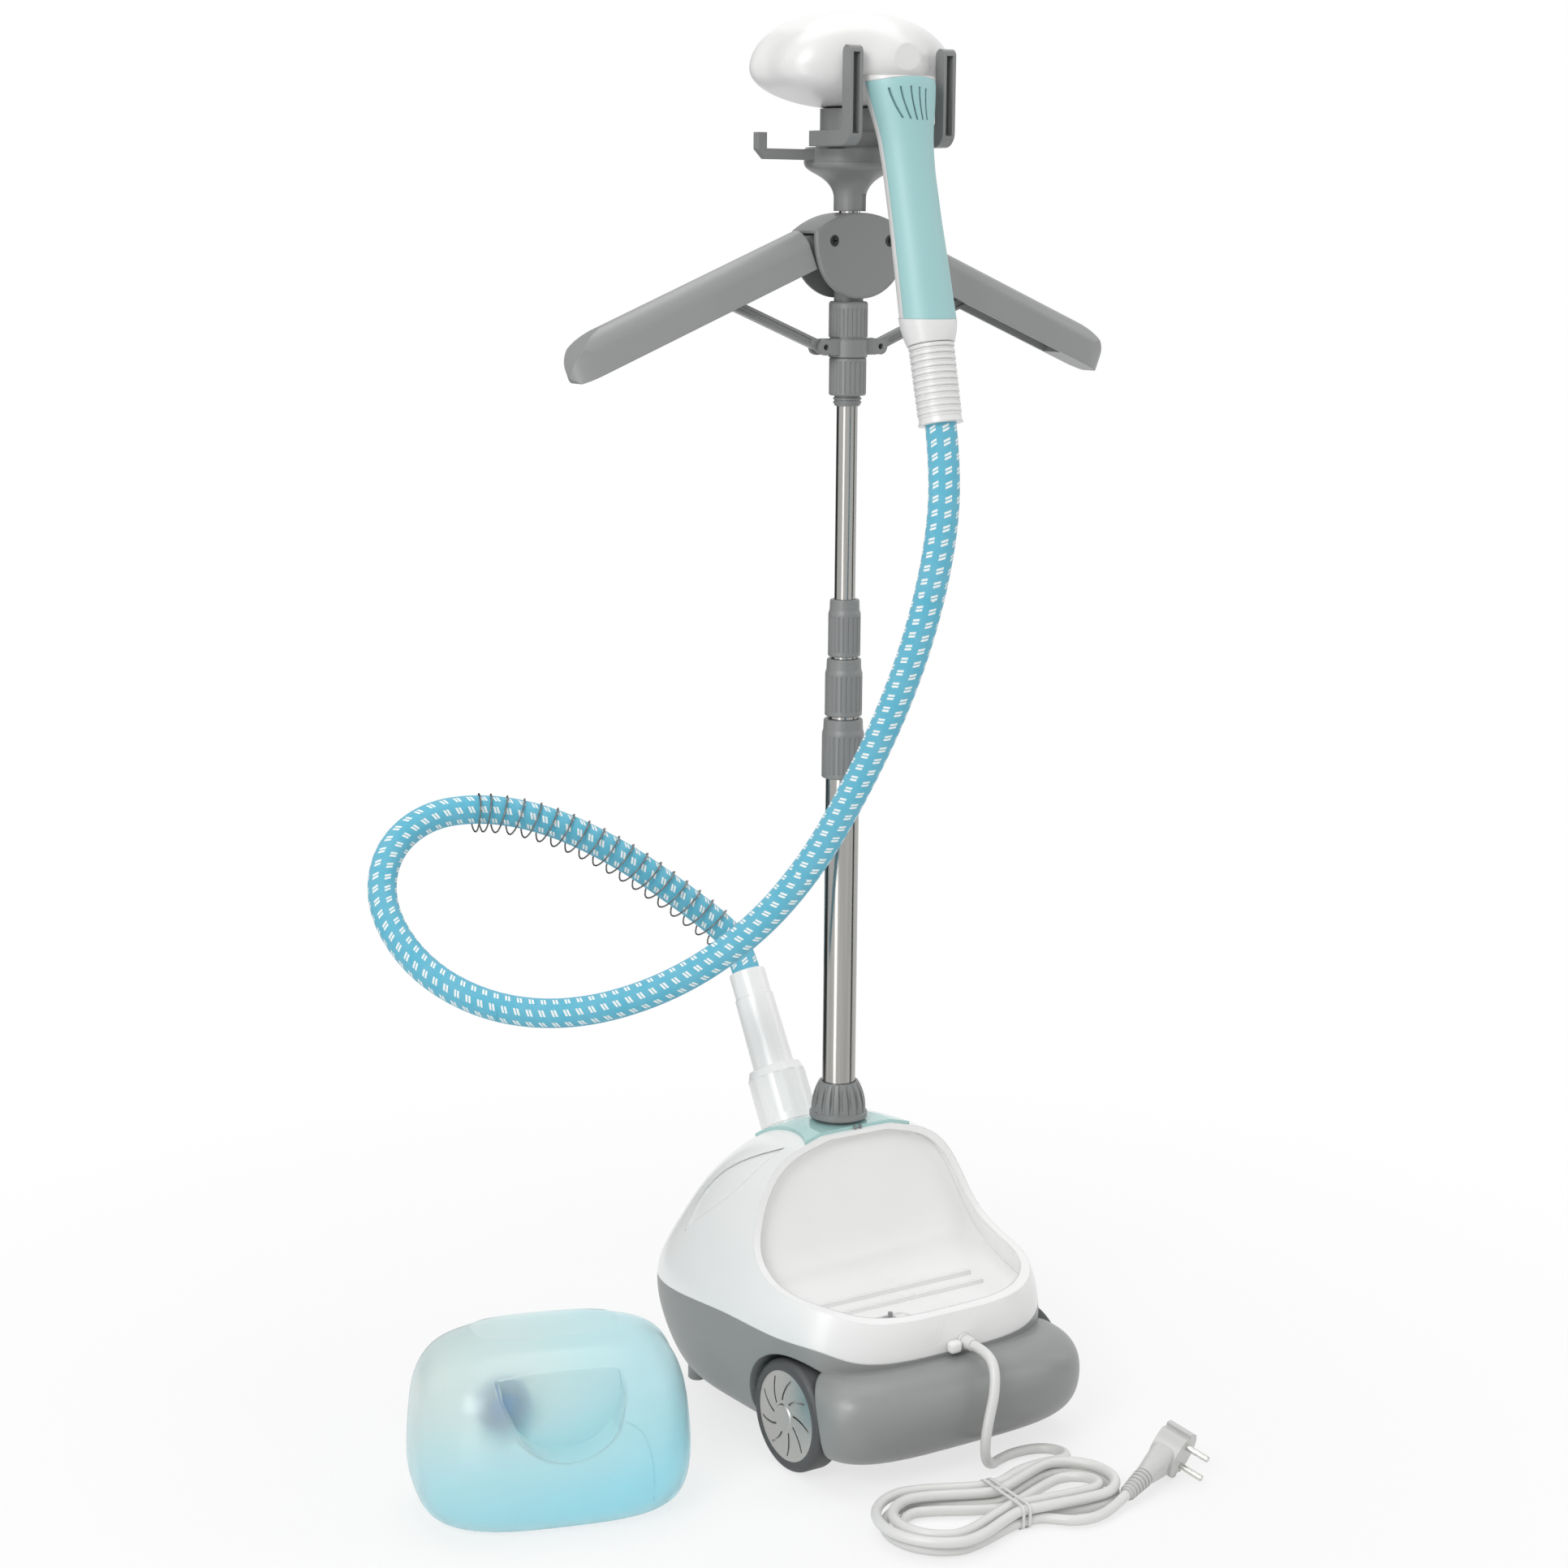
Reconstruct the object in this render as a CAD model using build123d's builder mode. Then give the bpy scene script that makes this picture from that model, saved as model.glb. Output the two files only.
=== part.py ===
"""Upright garment steamer with a telescopic pole, folding hanger, handset, hose and lift-off water tank."""
from build123d import *
import math
import os

os.makedirs("parts", exist_ok=True)

# Driving dimensions in millimetres. The frame's origin is on the floor, in the middle of the object's plan.
POLE_X = 75.5
POLE_Y = 23.8

# Base: share of its half width, rear reach, front reach and squareness of the outline at each height
BASE_HALF = 122.5
MIDDLE_Y = -20.0
BODY = (
    (22.0, 0.8327, -140.0, 90.0, 3.2),
    (30.0, 0.9143, -146.0, 101.0, 3.3),
    (45.0, 0.9633, -150.0, 114.0, 3.4),
    (65.0, 0.9918, -152.5, 126.0, 3.5),
    (95.0, 1.0, -154.0, 133.0, 3.5),
    (112.0, 0.9755, -153.0, 128.0, 3.5),
    (132.0, 0.9265, -148.5, 117.5, 3.4),
    (156.0, 0.8653, -140.0, 102.0, 3.3),
    (180.0, 0.7918, -127.0, 83.5, 3.2),
    (200.0, 0.7020, -110.0, 63.5, 3.0),
    (213.0, 0.5918, -90.0, 48.5, 2.8),
    (221.0, 0.4490, -69.0, 34.0, 2.6),
    (226.5, 0.2776, -50.0, 19.0, 2.4),
)
WALL = 3.0
RIM_WIDTH = 6.0
SCOOP = 1.3
RIM_LINE = (
    (-25.0, 240.0),
    (-30.0, 200.0),
    (-35.0, 170.0),
    (-43.0, 152.0),
    (-60.0, 139.5),
    (-90.0, 131.5),
    (-125.0, 126.0),
    (-150.0, 117.5),
    (-200.0, 113.0),
)
SEAT_LINE = (
    (-19.0, 240.0),
    (-22.5, 205.0),
    (-26.5, 172.0),
    (-33.5, 146.0),
    (-48.0, 124.0),
    (-66.0, 113.0),
    (-100.0, 107.0),
    (-160.0, 104.0),
)
UNDER_SEAT_LINE = (
    (-13.0, 240.0),
    (-17.0, 205.0),
    (-21.5, 172.0),
    (-28.5, 144.0),
    (-43.5, 120.0),
    (-63.0, 109.0),
    (-100.0, 103.0),
    (-170.0, 99.5),
)
PARTING_LINE = (
    (150.0, 95.0),
    (48.0, 95.5),
    (-33.0, 101.0),
    (-100.0, 100.5),
    (-131.0, 96.5),
    (-147.0, 89.0),
    (-162.0, 85.4),
    (-180.0, 84.8),
    (-210.0, 84.8),
)

# Rear bumper: share of the base's half width and rear reach at each height
BUMPER = (
    (16.0, 0.755, -160.0),
    (19.0, 0.845, -172.0),
    (26.0, 0.922, -182.0),
    (38.0, 0.972, -189.0),
    (52.0, 0.988, -191.0),
    (66.0, 0.976, -189.0),
    (76.0, 0.935, -182.0),
    (82.0, 0.865, -171.0),
    (84.0, 0.79, -160.0),
)
BUMPER_MIDDLE = -120.0
BUMPER_FRONT = -62.0

# Wheels and feet
WHEEL_Y = -102.0
WHEEL_R = 43.0
WHEEL_OUT = BASE_HALF - 4.5
WHEEL_WIDTH = 24.0
HUBCAP_R = 34.5
AXLE_R = 4.0
FOOT_X = 74.0
FOOT_Y = 88.0
FOOT_R = 7.6

# Pole: outer and inner radius of each tube
LOWER_R = (13.0, 12.1)
SECOND_R = (11.2, 10.4)
THIRD_R = (9.6, 8.8)
UPPER_R = (8.0, 7.2)
NUT_Z = (229.0, 260.0)
LOWER_COLLAR = (501.7, 547.2, 16.2)
SECOND_COLLAR = (549.7, 593.6, 14.3)
THIRD_COLLAR = (595.5, 639.1, 12.4)
FREE = 0.3

# Hanger: pivots, arm slope and link length
PIVOT_X = 25.0
PIVOT_Z = 907.0
ARM_SLOPE = 22.0
LINK = 104.0
ARM_START = 19.0
ARM_END = 236.0
ARM_NOSE = 40.0
ARM_HALF = 12.5
ARM_TOP = 15.5
ARM_LOW = -14.5
HUB_HALF = 17.0
HUB_GAP = 13.0
EAR_Z = PIVOT_Z - 2 * LINK * math.sin(math.radians(ARM_SLOPE))

# Handset: drop below the head's middle, middle of the grip, half width and half depth
HEAD_Z = 1037.4
GRIP = (
    (13.4, -56.0, 28.5, 24.5),
    (27.4, -61.0, 27.2, 23.2),
    (41.4, -64.5, 24.0, 20.6),
    (57.4, -68.0, 21.2, 18.6),
    (77.4, -72.3, 19.8, 17.6),
    (112.4, -81.0, 19.8, 17.8),
    (147.4, -89.7, 20.6, 18.6),
    (184.4, -98.6, 21.4, 19.4),
)
GRIP_STEPS = 15
GRIP_END = HEAD_Z - GRIP[-1][0]
HEAD = (
    (24.0, 74.0, 33.4),
    (6.0, 75.5, 34.6),
    (-15.0, 74.5, 33.8),
    (-34.0, 67.0, 30.5),
    (-46.0, 50.0, 26.5),
    (-54.0, 34.5, 22.5),
    (-62.0, 22.0, 16.5),
    (-69.0, 11.0, 9.5),
)
HEAD_SAG = 0.24
SHANK = 13.35

# Steam hose
HOSE_R = 11.4
HOSE_BORE = 8.0
HOSE_ROOT = (0.0, 60.0, 196.0)
HOSE_LEAN = 30.0
HOSE_TOP = 142.0
SPRING_R = 15.2
SPRING_WIRE = 0.7

# Water tank, standing on the floor beside the base
TANK_X = -277.0
TANK_Y = -10.5
TANK_TURN = -18.0
TANK_HIGH = 129.0
TANK = (
    (0.0, 84.0, 90.0, 3.0),
    (0.048, 94.0, 101.0, 3.2),
    (0.159, 99.5, 110.0, 3.4),
    (0.397, 101.5, 113.0, 3.5),
    (0.635, 99.0, 107.0, 3.5),
    (0.794, 94.0, 98.0, 3.4),
    (0.905, 84.5, 85.0, 3.2),
    (0.968, 70.0, 69.0, 3.0),
    (1.0, 54.0, 52.0, 2.8),
)
TANK_WALL = 2.6

# Mains cord
CORD_R = 3.9
TIE = (-30.0, -258.0)
HANK_TURN = math.radians(-5.73)


def at(x, y, z):
    """Point given from the pole's foot."""
    return Vector(POLE_X + x, POLE_Y + y, z)


def level(z):
    """Horizontal plane; sketch x is X and sketch y is Y, counted from the pole."""
    return Plane(origin=at(0, 0, z), x_dir=(1, 0, 0), z_dir=(0, 0, 1))


def across(y):
    """Upright plane facing the rear; sketch x is X and sketch y is height."""
    return Plane(origin=at(0, y, 0), x_dir=(1, 0, 0), z_dir=(0, -1, 0))


def along(x):
    """Upright fore-and-aft plane; sketch x is Y and sketch y is height."""
    return Plane(origin=at(x, 0, 0), x_dir=(0, 1, 0), z_dir=(1, 0, 0))


POLE = Axis(at(0, 0, 0), (0, 0, 1))
MID = Plane(origin=at(0, 0, 0), x_dir=(0, 1, 0), z_dir=(1, 0, 0))


def oval(width, rear, front, middle, power, count=32):
    """Points round a squared oval."""
    points = []
    for step in range(count):
        angle = 2 * math.pi * step / count
        side, end = math.cos(angle), math.sin(angle)
        reach = front - middle if end >= 0 else middle - rear
        x = width * math.copysign(abs(side) ** (2 / power), side)
        y = middle + reach * math.copysign(abs(end) ** (2 / power), end)
        points.append((x, y))
    return points


def base_rows(inset, drop):
    """Outlines of the base, drawn in by inset and with the dome lowered by drop."""
    rows = []
    for z, width, rear, front, power in BODY:
        lower = drop * max(0.0, (z - 95.0) / 131.5)
        with BuildSketch(level(z - lower)) as row:
            with BuildLine():
                points = oval(BASE_HALF * width - inset, rear + inset, front - inset, MIDDLE_Y, power)
                Spline(*points, periodic=True)
            make_face()
        rows.append(row.sketch)
    return rows


def bounded(line, far):
    """Fore-and-aft face between a smooth line and the far corners."""
    with BuildSketch(along(0)) as face:
        with BuildLine():
            Spline(*line)
            Polyline(line[-1], *far, line[0])
        make_face()
    return face.sketch


def bumper_rows(inset, bottom, top):
    """Outlines of the rear bumper, drawn in by inset and fitted between two heights."""
    low, high = BUMPER[0][0], BUMPER[-1][0]
    rows = []
    for z, width, rear in BUMPER:
        height = bottom + (z - low) * (top - bottom) / (high - low)
        with BuildSketch(level(height)) as row:
            with BuildLine():
                points = oval(BASE_HALF * width - inset, rear + inset, BUMPER_FRONT, BUMPER_MIDDLE, 3.6)
                Spline(*points, periodic=True)
            make_face()
        rows.append(row.sketch)
    return rows


# Closed forms that the base pieces are cut from

with BuildPart() as outer_form:
    loft(sections=base_rows(0.0, 0.0))

with BuildPart() as bumper_form:
    loft(sections=bumper_rows(0.0, BUMPER[0][0], BUMPER[-1][0]))

with BuildPart() as hollow_form:
    loft(sections=base_rows(WALL, WALL))
    under = bounded(UNDER_SEAT_LINE, ((-260, 99.5), (-260, 300), (-13, 300)))
    extrude(under, amount=200, both=True, mode=Mode.SUBTRACT)
    with BuildSketch(level(10)):
        Rectangle(400, 500)
    extrude(amount=15, mode=Mode.SUBTRACT)
    loft(sections=bumper_rows(WALL + 1, BUMPER[0][0] + 9, BUMPER[-1][0] - WALL))
    for side in (-1, 1):
        with BuildSketch(along(side * (WHEEL_OUT - 29.5))):
            with Locations((WHEEL_Y, WHEEL_R)):
                Circle(WHEEL_R + 7.5)
        extrude(amount=side * 60, mode=Mode.SUBTRACT)

with BuildPart() as seat_form:
    loft(sections=base_rows(RIM_WIDTH, 4.0))
    seat_side = bounded(SEAT_LINE, ((-260, 104), (-260, 300), (-19, 300)))
    extrude(seat_side, amount=200, both=True, mode=Mode.INTERSECT)

with BuildPart() as side_scoops:
    with BuildSketch(along(0)):
        with BuildLine():
            Spline((57, 139), (53, 167), (27, 196), (-15, 219))
            Spline((-15, 219), (-5, 196), (25, 167), (57, 139))
        make_face()
    extrude(amount=200, both=True)
    loft(sections=base_rows(SCOOP, SCOOP), mode=Mode.SUBTRACT)

SEAT_CUT = bounded(RIM_LINE, ((-260, 113), (-260, 300), (-25, 300)))
ABOVE = bounded(PARTING_LINE, ((-210, 300), (150, 300)))
BELOW = bounded(PARTING_LINE, ((-210, 0), (150, 0)))
HOSE = Plane(
    origin=at(*HOSE_ROOT),
    x_dir=(1, 0, 0),
    z_dir=(0, math.sin(math.radians(HOSE_LEAN)), math.cos(math.radians(HOSE_LEAN))),
)

# Base housing

with BuildPart() as upper_housing:
    add(outer_form.part)
    add(hollow_form.part, mode=Mode.SUBTRACT)
    extrude(SEAT_CUT, amount=200, both=True, mode=Mode.SUBTRACT)
    extrude(ABOVE, amount=200, both=True, mode=Mode.INTERSECT)
    add(seat_form.part, mode=Mode.SUBTRACT)
    add(side_scoops.part, mode=Mode.SUBTRACT)
    with Locations(at(0, -76, 110), at(0, -92, 107.6)):
        Box(148, 3.5, 5)
    with BuildSketch(level(105.2)):
        with Locations((-32, -116)):
            SlotOverall(36, 14)
    extrude(amount=20, mode=Mode.SUBTRACT)
    with BuildSketch(level(150)):
        Circle(17)
    extrude(amount=100, mode=Mode.SUBTRACT)
    with BuildSketch(HOSE.offset(-40)):
        Circle(16.5)
    extrude(amount=120, mode=Mode.SUBTRACT)
    with BuildSketch(across(150)):
        with Locations((0, 142)):
            Circle(11.4)
    extrude(amount=90, mode=Mode.SUBTRACT)
    with BuildSketch(across(-120)):
        with Locations((9, 93)):
            Circle(6.2)
    extrude(amount=60, mode=Mode.SUBTRACT)
upper_housing.part.label = "upper_housing"
export_step(upper_housing.part, "parts/upper_housing.step")

with BuildPart() as lower_housing:
    add(outer_form.part)
    add(bumper_form.part)
    add(hollow_form.part, mode=Mode.SUBTRACT)
    extrude(BELOW, amount=200, both=True, mode=Mode.INTERSECT)
    with BuildSketch(across(-120)):
        with Locations((9, 93)):
            Circle(6.2)
    extrude(amount=60, mode=Mode.SUBTRACT)
    for side in (-1, 1):
        with BuildSketch(along(side * (WHEEL_OUT - 26.5))):
            with Locations((WHEEL_Y, WHEEL_R)):
                Circle(WHEEL_R + 4)
        extrude(amount=side * 60, mode=Mode.SUBTRACT)
    with BuildSketch(along(0)):
        with Locations((WHEEL_Y, WHEEL_R)):
            Circle(AXLE_R)
    extrude(amount=140, both=True, mode=Mode.SUBTRACT)
lower_housing.part.label = "lower_housing"
export_step(lower_housing.part, "parts/lower_housing.step")

with BuildPart() as top_plate:
    loft(sections=[row.moved(Location((0, 0, 2.5))) for row in base_rows(0.0, 0.0)])
    with BuildSketch(level(0)):
        with BuildLine():
            ThreePointArc((-50, -26.5), (0, -23.5), (50, -26.5))
            ThreePointArc((50, -26.5), (41, 8), (50, 42))
            ThreePointArc((50, 42), (0, 37), (-50, 42))
            ThreePointArc((-50, 42), (-41, 8), (-50, -26.5))
        make_face()
    extrude(amount=300, mode=Mode.INTERSECT)
    add(outer_form.part, mode=Mode.SUBTRACT)
    with BuildSketch(level(150)):
        Circle(17)
    extrude(amount=100, mode=Mode.SUBTRACT)
    with BuildSketch(HOSE.offset(-40)):
        Circle(24.6)
    extrude(amount=120, mode=Mode.SUBTRACT)
top_plate.part.label = "top_plate"
export_step(top_plate.part, "parts/top_plate.step")

for name, side in (("front_foot_left", -1), ("front_foot_right", 1)):
    with BuildPart() as front_foot:
        with BuildSketch(level(0)):
            with Locations((side * FOOT_X, FOOT_Y)):
                Circle(FOOT_R)
        extrude(amount=45)
        chamfer(front_foot.edges().group_by(Axis.Z)[0], length=1.2)
        add(outer_form.part, mode=Mode.SUBTRACT)
    front_foot.part.label = name
    export_step(front_foot.part, f"parts/{name}.step")

with BuildPart() as wheel_axle:
    with BuildSketch(along(0)):
        with Locations((WHEEL_Y, WHEEL_R)):
            Circle(AXLE_R)
    extrude(amount=WHEEL_OUT - 7, both=True)
wheel_axle.part.label = "wheel_axle"
export_step(wheel_axle.part, "parts/wheel_axle.step")

# Wheels

HUB_AXIS = Axis(at(0, WHEEL_Y, WHEEL_R), (1, 0, 0))
WHEEL_PLANE = Plane(origin=at(0, WHEEL_Y, WHEEL_R), x_dir=(-1, 0, 0), z_dir=(0, -1, 0))

with BuildPart() as wheel_left:
    with BuildSketch(WHEEL_PLANE):
        with BuildLine():
            inner_x = WHEEL_OUT - WHEEL_WIDTH
            Polyline(
                (inner_x, AXLE_R + 0.05),
                (inner_x, 13),
                (inner_x + 4, 15),
                (inner_x + 4, 30),
                (inner_x + 1, 34),
                (inner_x, 38),
            )
            ThreePointArc((inner_x, 38), (inner_x + 1.5, 41.5), (inner_x + 5, 43))
            Line((inner_x + 5, 43), (WHEEL_OUT - 5, 43))
            ThreePointArc((WHEEL_OUT - 5, 43), (WHEEL_OUT - 1.5, 41.5), (WHEEL_OUT, 38))
            Polyline(
                (WHEEL_OUT, 38),
                (WHEEL_OUT - 0.5, HUBCAP_R),
                (WHEEL_OUT - 4, HUBCAP_R),
                (WHEEL_OUT - 4, AXLE_R + 0.05),
                (inner_x, AXLE_R + 0.05),
            )
        make_face()
    revolve(axis=HUB_AXIS)
wheel_left.part.label = "wheel_left"
export_step(wheel_left.part, "parts/wheel_left.step")

with BuildPart() as hubcap_left:
    with BuildSketch(WHEEL_PLANE):
        with BuildLine():
            face_x = WHEEL_OUT + 1.2
            Polyline((WHEEL_OUT - 4, 0), (WHEEL_OUT - 4, HUBCAP_R), (WHEEL_OUT - 0.6, HUBCAP_R))
            ThreePointArc((WHEEL_OUT - 0.6, HUBCAP_R), (face_x - 0.3, 20), (face_x, 10))
            Polyline((face_x, 10), (face_x + 1.0, 9), (face_x + 1.0, 0), (WHEEL_OUT - 4, 0))
        make_face()
    revolve(axis=HUB_AXIS)
    for slot in range(9):
        turn = 40 * slot
        with BuildSketch(along(-WHEEL_OUT - 6)):
            with BuildLine():
                start = Vector(12.5, 0).rotate(Axis.Z, turn)
                bend = Vector(20.5, 4.2).rotate(Axis.Z, turn)
                stop = Vector(28.0, 12.5).rotate(Axis.Z, turn)
                place = Vector(WHEEL_Y, WHEEL_R)
                ThreePointArc(place + start, place + bend, place + stop)
            trace(line_width=1.7)
        extrude(amount=7.2, mode=Mode.SUBTRACT)
hubcap_left.part.label = "hubcap_left"
export_step(hubcap_left.part, "parts/hubcap_left.step")

with BuildPart() as wheel_right:
    mirror(wheel_left.part, about=MID)
wheel_right.part.label = "wheel_right"
export_step(wheel_right.part, "parts/wheel_right.step")

with BuildPart() as hubcap_right:
    mirror(hubcap_left.part, about=MID)
hubcap_right.part.label = "hubcap_right"
export_step(hubcap_right.part, "parts/hubcap_right.step")

# Inside the base

with BuildPart() as pole_socket:
    with BuildSketch(level(25)):
        Circle(17)
    extrude(amount=218)
    with BuildSketch(level(150)):
        Circle(LOWER_R[0])
    extrude(amount=100, mode=Mode.SUBTRACT)
pole_socket.part.label = "pole_socket"
export_step(pole_socket.part, "parts/pole_socket.step")

with BuildPart() as boiler:
    with BuildSketch(level(36)):
        with Locations((0, 62)):
            Circle(42)
    extrude(amount=84)
    fillet(boiler.edges().group_by(Axis.Z)[0], radius=6)
    with BuildSketch(level(25)):
        with Locations((0, 62)):
            with PolarLocations(26, 3):
                Circle(5)
    extrude(amount=15)
    with BuildSketch(level(45)):
        with Locations((0, 62)):
            Circle(39)
    extrude(amount=75, mode=Mode.SUBTRACT)
boiler.part.label = "boiler"
export_step(boiler.part, "parts/boiler.step")

with BuildPart() as boiler_lid:
    with BuildSketch(level(120)):
        with Locations((0, 62)):
            Circle(43.5)
        with Locations((0, 45.2)):
            Circle(6, mode=Mode.SUBTRACT)
    extrude(amount=8)
boiler_lid.part.label = "boiler_lid"
export_step(boiler_lid.part, "parts/boiler_lid.step")

with BuildPart() as steam_pipe:
    with BuildLine() as pipe_line:
        FilletPolyline(at(0, 45.2, 128), at(0, 45.2, 170.4), at(0, 53, 183.9), radius=16)
    with BuildSketch(level(128)):
        with Locations((0, 45.2)):
            Circle(7.5)
            Circle(6, mode=Mode.SUBTRACT)
    sweep()
steam_pipe.part.label = "steam_pipe"
export_step(steam_pipe.part, "parts/steam_pipe.step")

with BuildPart(HOSE) as steam_outlet:
    with BuildSketch(HOSE.offset(-14)):
        Circle(16.5)
        Circle(9, mode=Mode.SUBTRACT)
    extrude(amount=48)
steam_outlet.part.label = "steam_outlet"
export_step(steam_outlet.part, "parts/steam_outlet.step")

with BuildPart() as valve_seat:
    with BuildSketch(level(105.2)):
        with Locations((-32, -116)):
            Circle(5.6)
    extrude(amount=1.6)
    with BuildSketch(level(106.8)):
        with Locations((-32, -116)):
            Circle(1.8)
    extrude(amount=5)
valve_seat.part.label = "valve_seat"
export_step(valve_seat.part, "parts/valve_seat.step")

with BuildPart() as power_button:
    with BuildSketch(across(118.5)):
        with Locations((0, 142)):
            Circle(11)
    extrude(amount=17)
    fillet(power_button.edges().sort_by(Axis.Y)[-1], radius=2)
power_button.part.label = "power_button"
export_step(power_button.part, "parts/power_button.step")

with BuildPart() as cord_gland:
    with BuildSketch(across(-144)):
        with Locations((9, 93)):
            Circle(6.2)
    extrude(amount=13)
    with BuildSketch(across(-157)):
        with Locations((9, 93)):
            Circle(5.6)
    with BuildSketch(across(-166)):
        with Locations((9, 93)):
            Circle(4.6)
    loft()
cord_gland.part.label = "cord_gland"
export_step(cord_gland.part, "parts/cord_gland.step")

# Pole

with BuildPart() as pole_nut:
    with BuildSketch(along(0)):
        with BuildLine():
            low, high = NUT_Z
            bore, thread = LOWER_R[0] + FREE, 17 + FREE
            Polyline((15.2, high), (bore, high), (bore, low + 15), (thread, low + 15))
            Polyline((thread, low + 15), (thread, low + 2.8), (22.7, low + 2.8), (22.7, low + 6.2), (21.2, low + 7))
            ThreePointArc((21.2, low + 7), (19.8, low + 20), (15.2, high))
        make_face()
    revolve(axis=POLE)
    for flute in range(18):
        outward = Vector(1, 0, 0).rotate(Axis.Z, 20.0 * flute)
        foot = at(0, 0, low + 8) + outward * 22.0
        top = at(0, 0, high + 1) + outward * 16.3
        with BuildSketch(Plane(origin=foot, z_dir=top - foot)):
            Circle(1.6)
        extrude(amount=(top - foot).length, mode=Mode.SUBTRACT)
pole_nut.part.label = "pole_nut"
export_step(pole_nut.part, "parts/pole_nut.step")


def tube(radii, low, high):
    """Round tube on the pole's axis."""
    with BuildPart() as piece:
        with BuildSketch(level(low)):
            Circle(radii[0])
            Circle(radii[1], mode=Mode.SUBTRACT)
        extrude(amount=high - low)
    return piece


def collar(span, tube_radius, next_radius, flutes):
    """Fluted twist collar over one tube's end, round the next tube."""
    low, high, outer = span
    step = high - 3.0
    with BuildPart() as piece:
        with BuildSketch(along(0)):
            with BuildLine():
                Polyline(
                    (next_radius + FREE, high),
                    (next_radius + FREE, step),
                    (tube_radius + FREE, step),
                    (tube_radius + FREE, low),
                    (outer - 0.6, low),
                    (outer, low + 0.8),
                    (outer, high - 11),
                    (outer - 0.9, high - 8),
                    (outer - 1.2, high - 0.8),
                    (outer - 1.8, high),
                    (next_radius + FREE, high),
                )
            make_face()
        revolve(axis=POLE)
        with BuildSketch(level(low + 4)):
            with PolarLocations(outer + 0.35, flutes):
                Circle(0.9)
        extrude(amount=high - low - 17, mode=Mode.SUBTRACT)
    return piece


lower_tube = tube(LOWER_R, 150.0, LOWER_COLLAR[1] - 3.5)
lower_tube.part.label = "lower_tube"
export_step(lower_tube.part, "parts/lower_tube.step")

lower_collar = collar(LOWER_COLLAR, LOWER_R[0], SECOND_R[0], 24)
lower_collar.part.label = "lower_collar"
export_step(lower_collar.part, "parts/lower_collar.step")

second_tube = tube(SECOND_R, 290.0, SECOND_COLLAR[1] - 3.5)
second_tube.part.label = "second_tube"
export_step(second_tube.part, "parts/second_tube.step")

second_collar = collar(SECOND_COLLAR, SECOND_R[0], THIRD_R[0], 22)
second_collar.part.label = "second_collar"
export_step(second_collar.part, "parts/second_collar.step")

third_tube = tube(THIRD_R, 320.0, THIRD_COLLAR[1] - 3.5)
third_tube.part.label = "third_tube"
export_step(third_tube.part, "parts/third_tube.step")

third_collar = collar(THIRD_COLLAR, THIRD_R[0], UPPER_R[0], 20)
third_collar.part.label = "third_collar"
export_step(third_collar.part, "parts/third_collar.step")

upper_tube = tube(UPPER_R, 380.0, 950.0)
upper_tube.part.label = "upper_tube"
export_step(upper_tube.part, "parts/upper_tube.step")

# Hanger hub, in two halves on the upper tube


def hub_half(side):
    """Half of the hub, on one side of the hanger's plane."""
    with BuildPart() as piece:
        with BuildSketch(across(0)):
            with BuildLine():
                ThreePointArc((-41, 914), (0, 927.5), (41, 914))
                Spline((41, 914), (39.5, 896), (32, 879.5), (18, 868.5), (0, 865))
                Spline((0, 865), (-18, 868.5), (-32, 879.5), (-39.5, 896), (-41, 914))
            make_face()
        extrude(amount=side * HUB_HALF)
        outer = piece.faces().sort_by(Axis.Y)[-1 if side < 0 else 0]
        fillet(outer.edges(), radius=2.5)
        with BuildSketch(across(0)):
            with BuildLine():
                ThreePointArc((-50, 905.5), (0, 923.8), (50, 905.5))
                Polyline((50, 905.5), (50, 850), (-50, 850), (-50, 905.5))
            make_face()
        extrude(amount=HUB_GAP, both=True, mode=Mode.SUBTRACT)
        with BuildSketch(level(861.5)):
            Circle(11)
        extrude(amount=63)
        with BuildSketch(level(850)):
            Circle(UPPER_R[0])
        extrude(amount=90, mode=Mode.SUBTRACT)
        with Locations(at(0, side * 50, 900)):
            Box(200, 100, 200, mode=Mode.SUBTRACT)
        for x in (-PIVOT_X, PIVOT_X):
            with BuildSketch(across(side * -5)):
                with Locations((x, PIVOT_Z)):
                    Circle(2.5)
            extrude(amount=side * 30, mode=Mode.SUBTRACT)
            with BuildSketch(across(-side * (HUB_HALF - 3))):
                with Locations((x, PIVOT_Z)):
                    Circle(4.2)
            extrude(amount=side * 10, mode=Mode.SUBTRACT)
    return piece


hub_front = hub_half(1)
hub_front.part.label = "hub_front"
export_step(hub_front.part, "parts/hub_front.step")

hub_rear = hub_half(-1)
hub_rear.part.label = "hub_rear"
export_step(hub_rear.part, "parts/hub_rear.step")

for name, x in (("hub_screw_left", -PIVOT_X), ("hub_screw_right", PIVOT_X)):
    with BuildPart() as hub_screw:
        with BuildSketch(across(HUB_HALF - 3)):
            with Locations((x, PIVOT_Z)):
                Circle(2.5)
        extrude(amount=2 * HUB_HALF - 6)
        with BuildSketch(across(3 - HUB_HALF)):
            with Locations((x, PIVOT_Z)):
                Circle(4.0)
                Rectangle(5.2, 1.1, mode=Mode.SUBTRACT)
                Rectangle(1.1, 5.2, mode=Mode.SUBTRACT)
        extrude(amount=2)
    hub_screw.part.label = name
    export_step(hub_screw.part, f"parts/{name}.step")

# Folding arms and their struts

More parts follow.
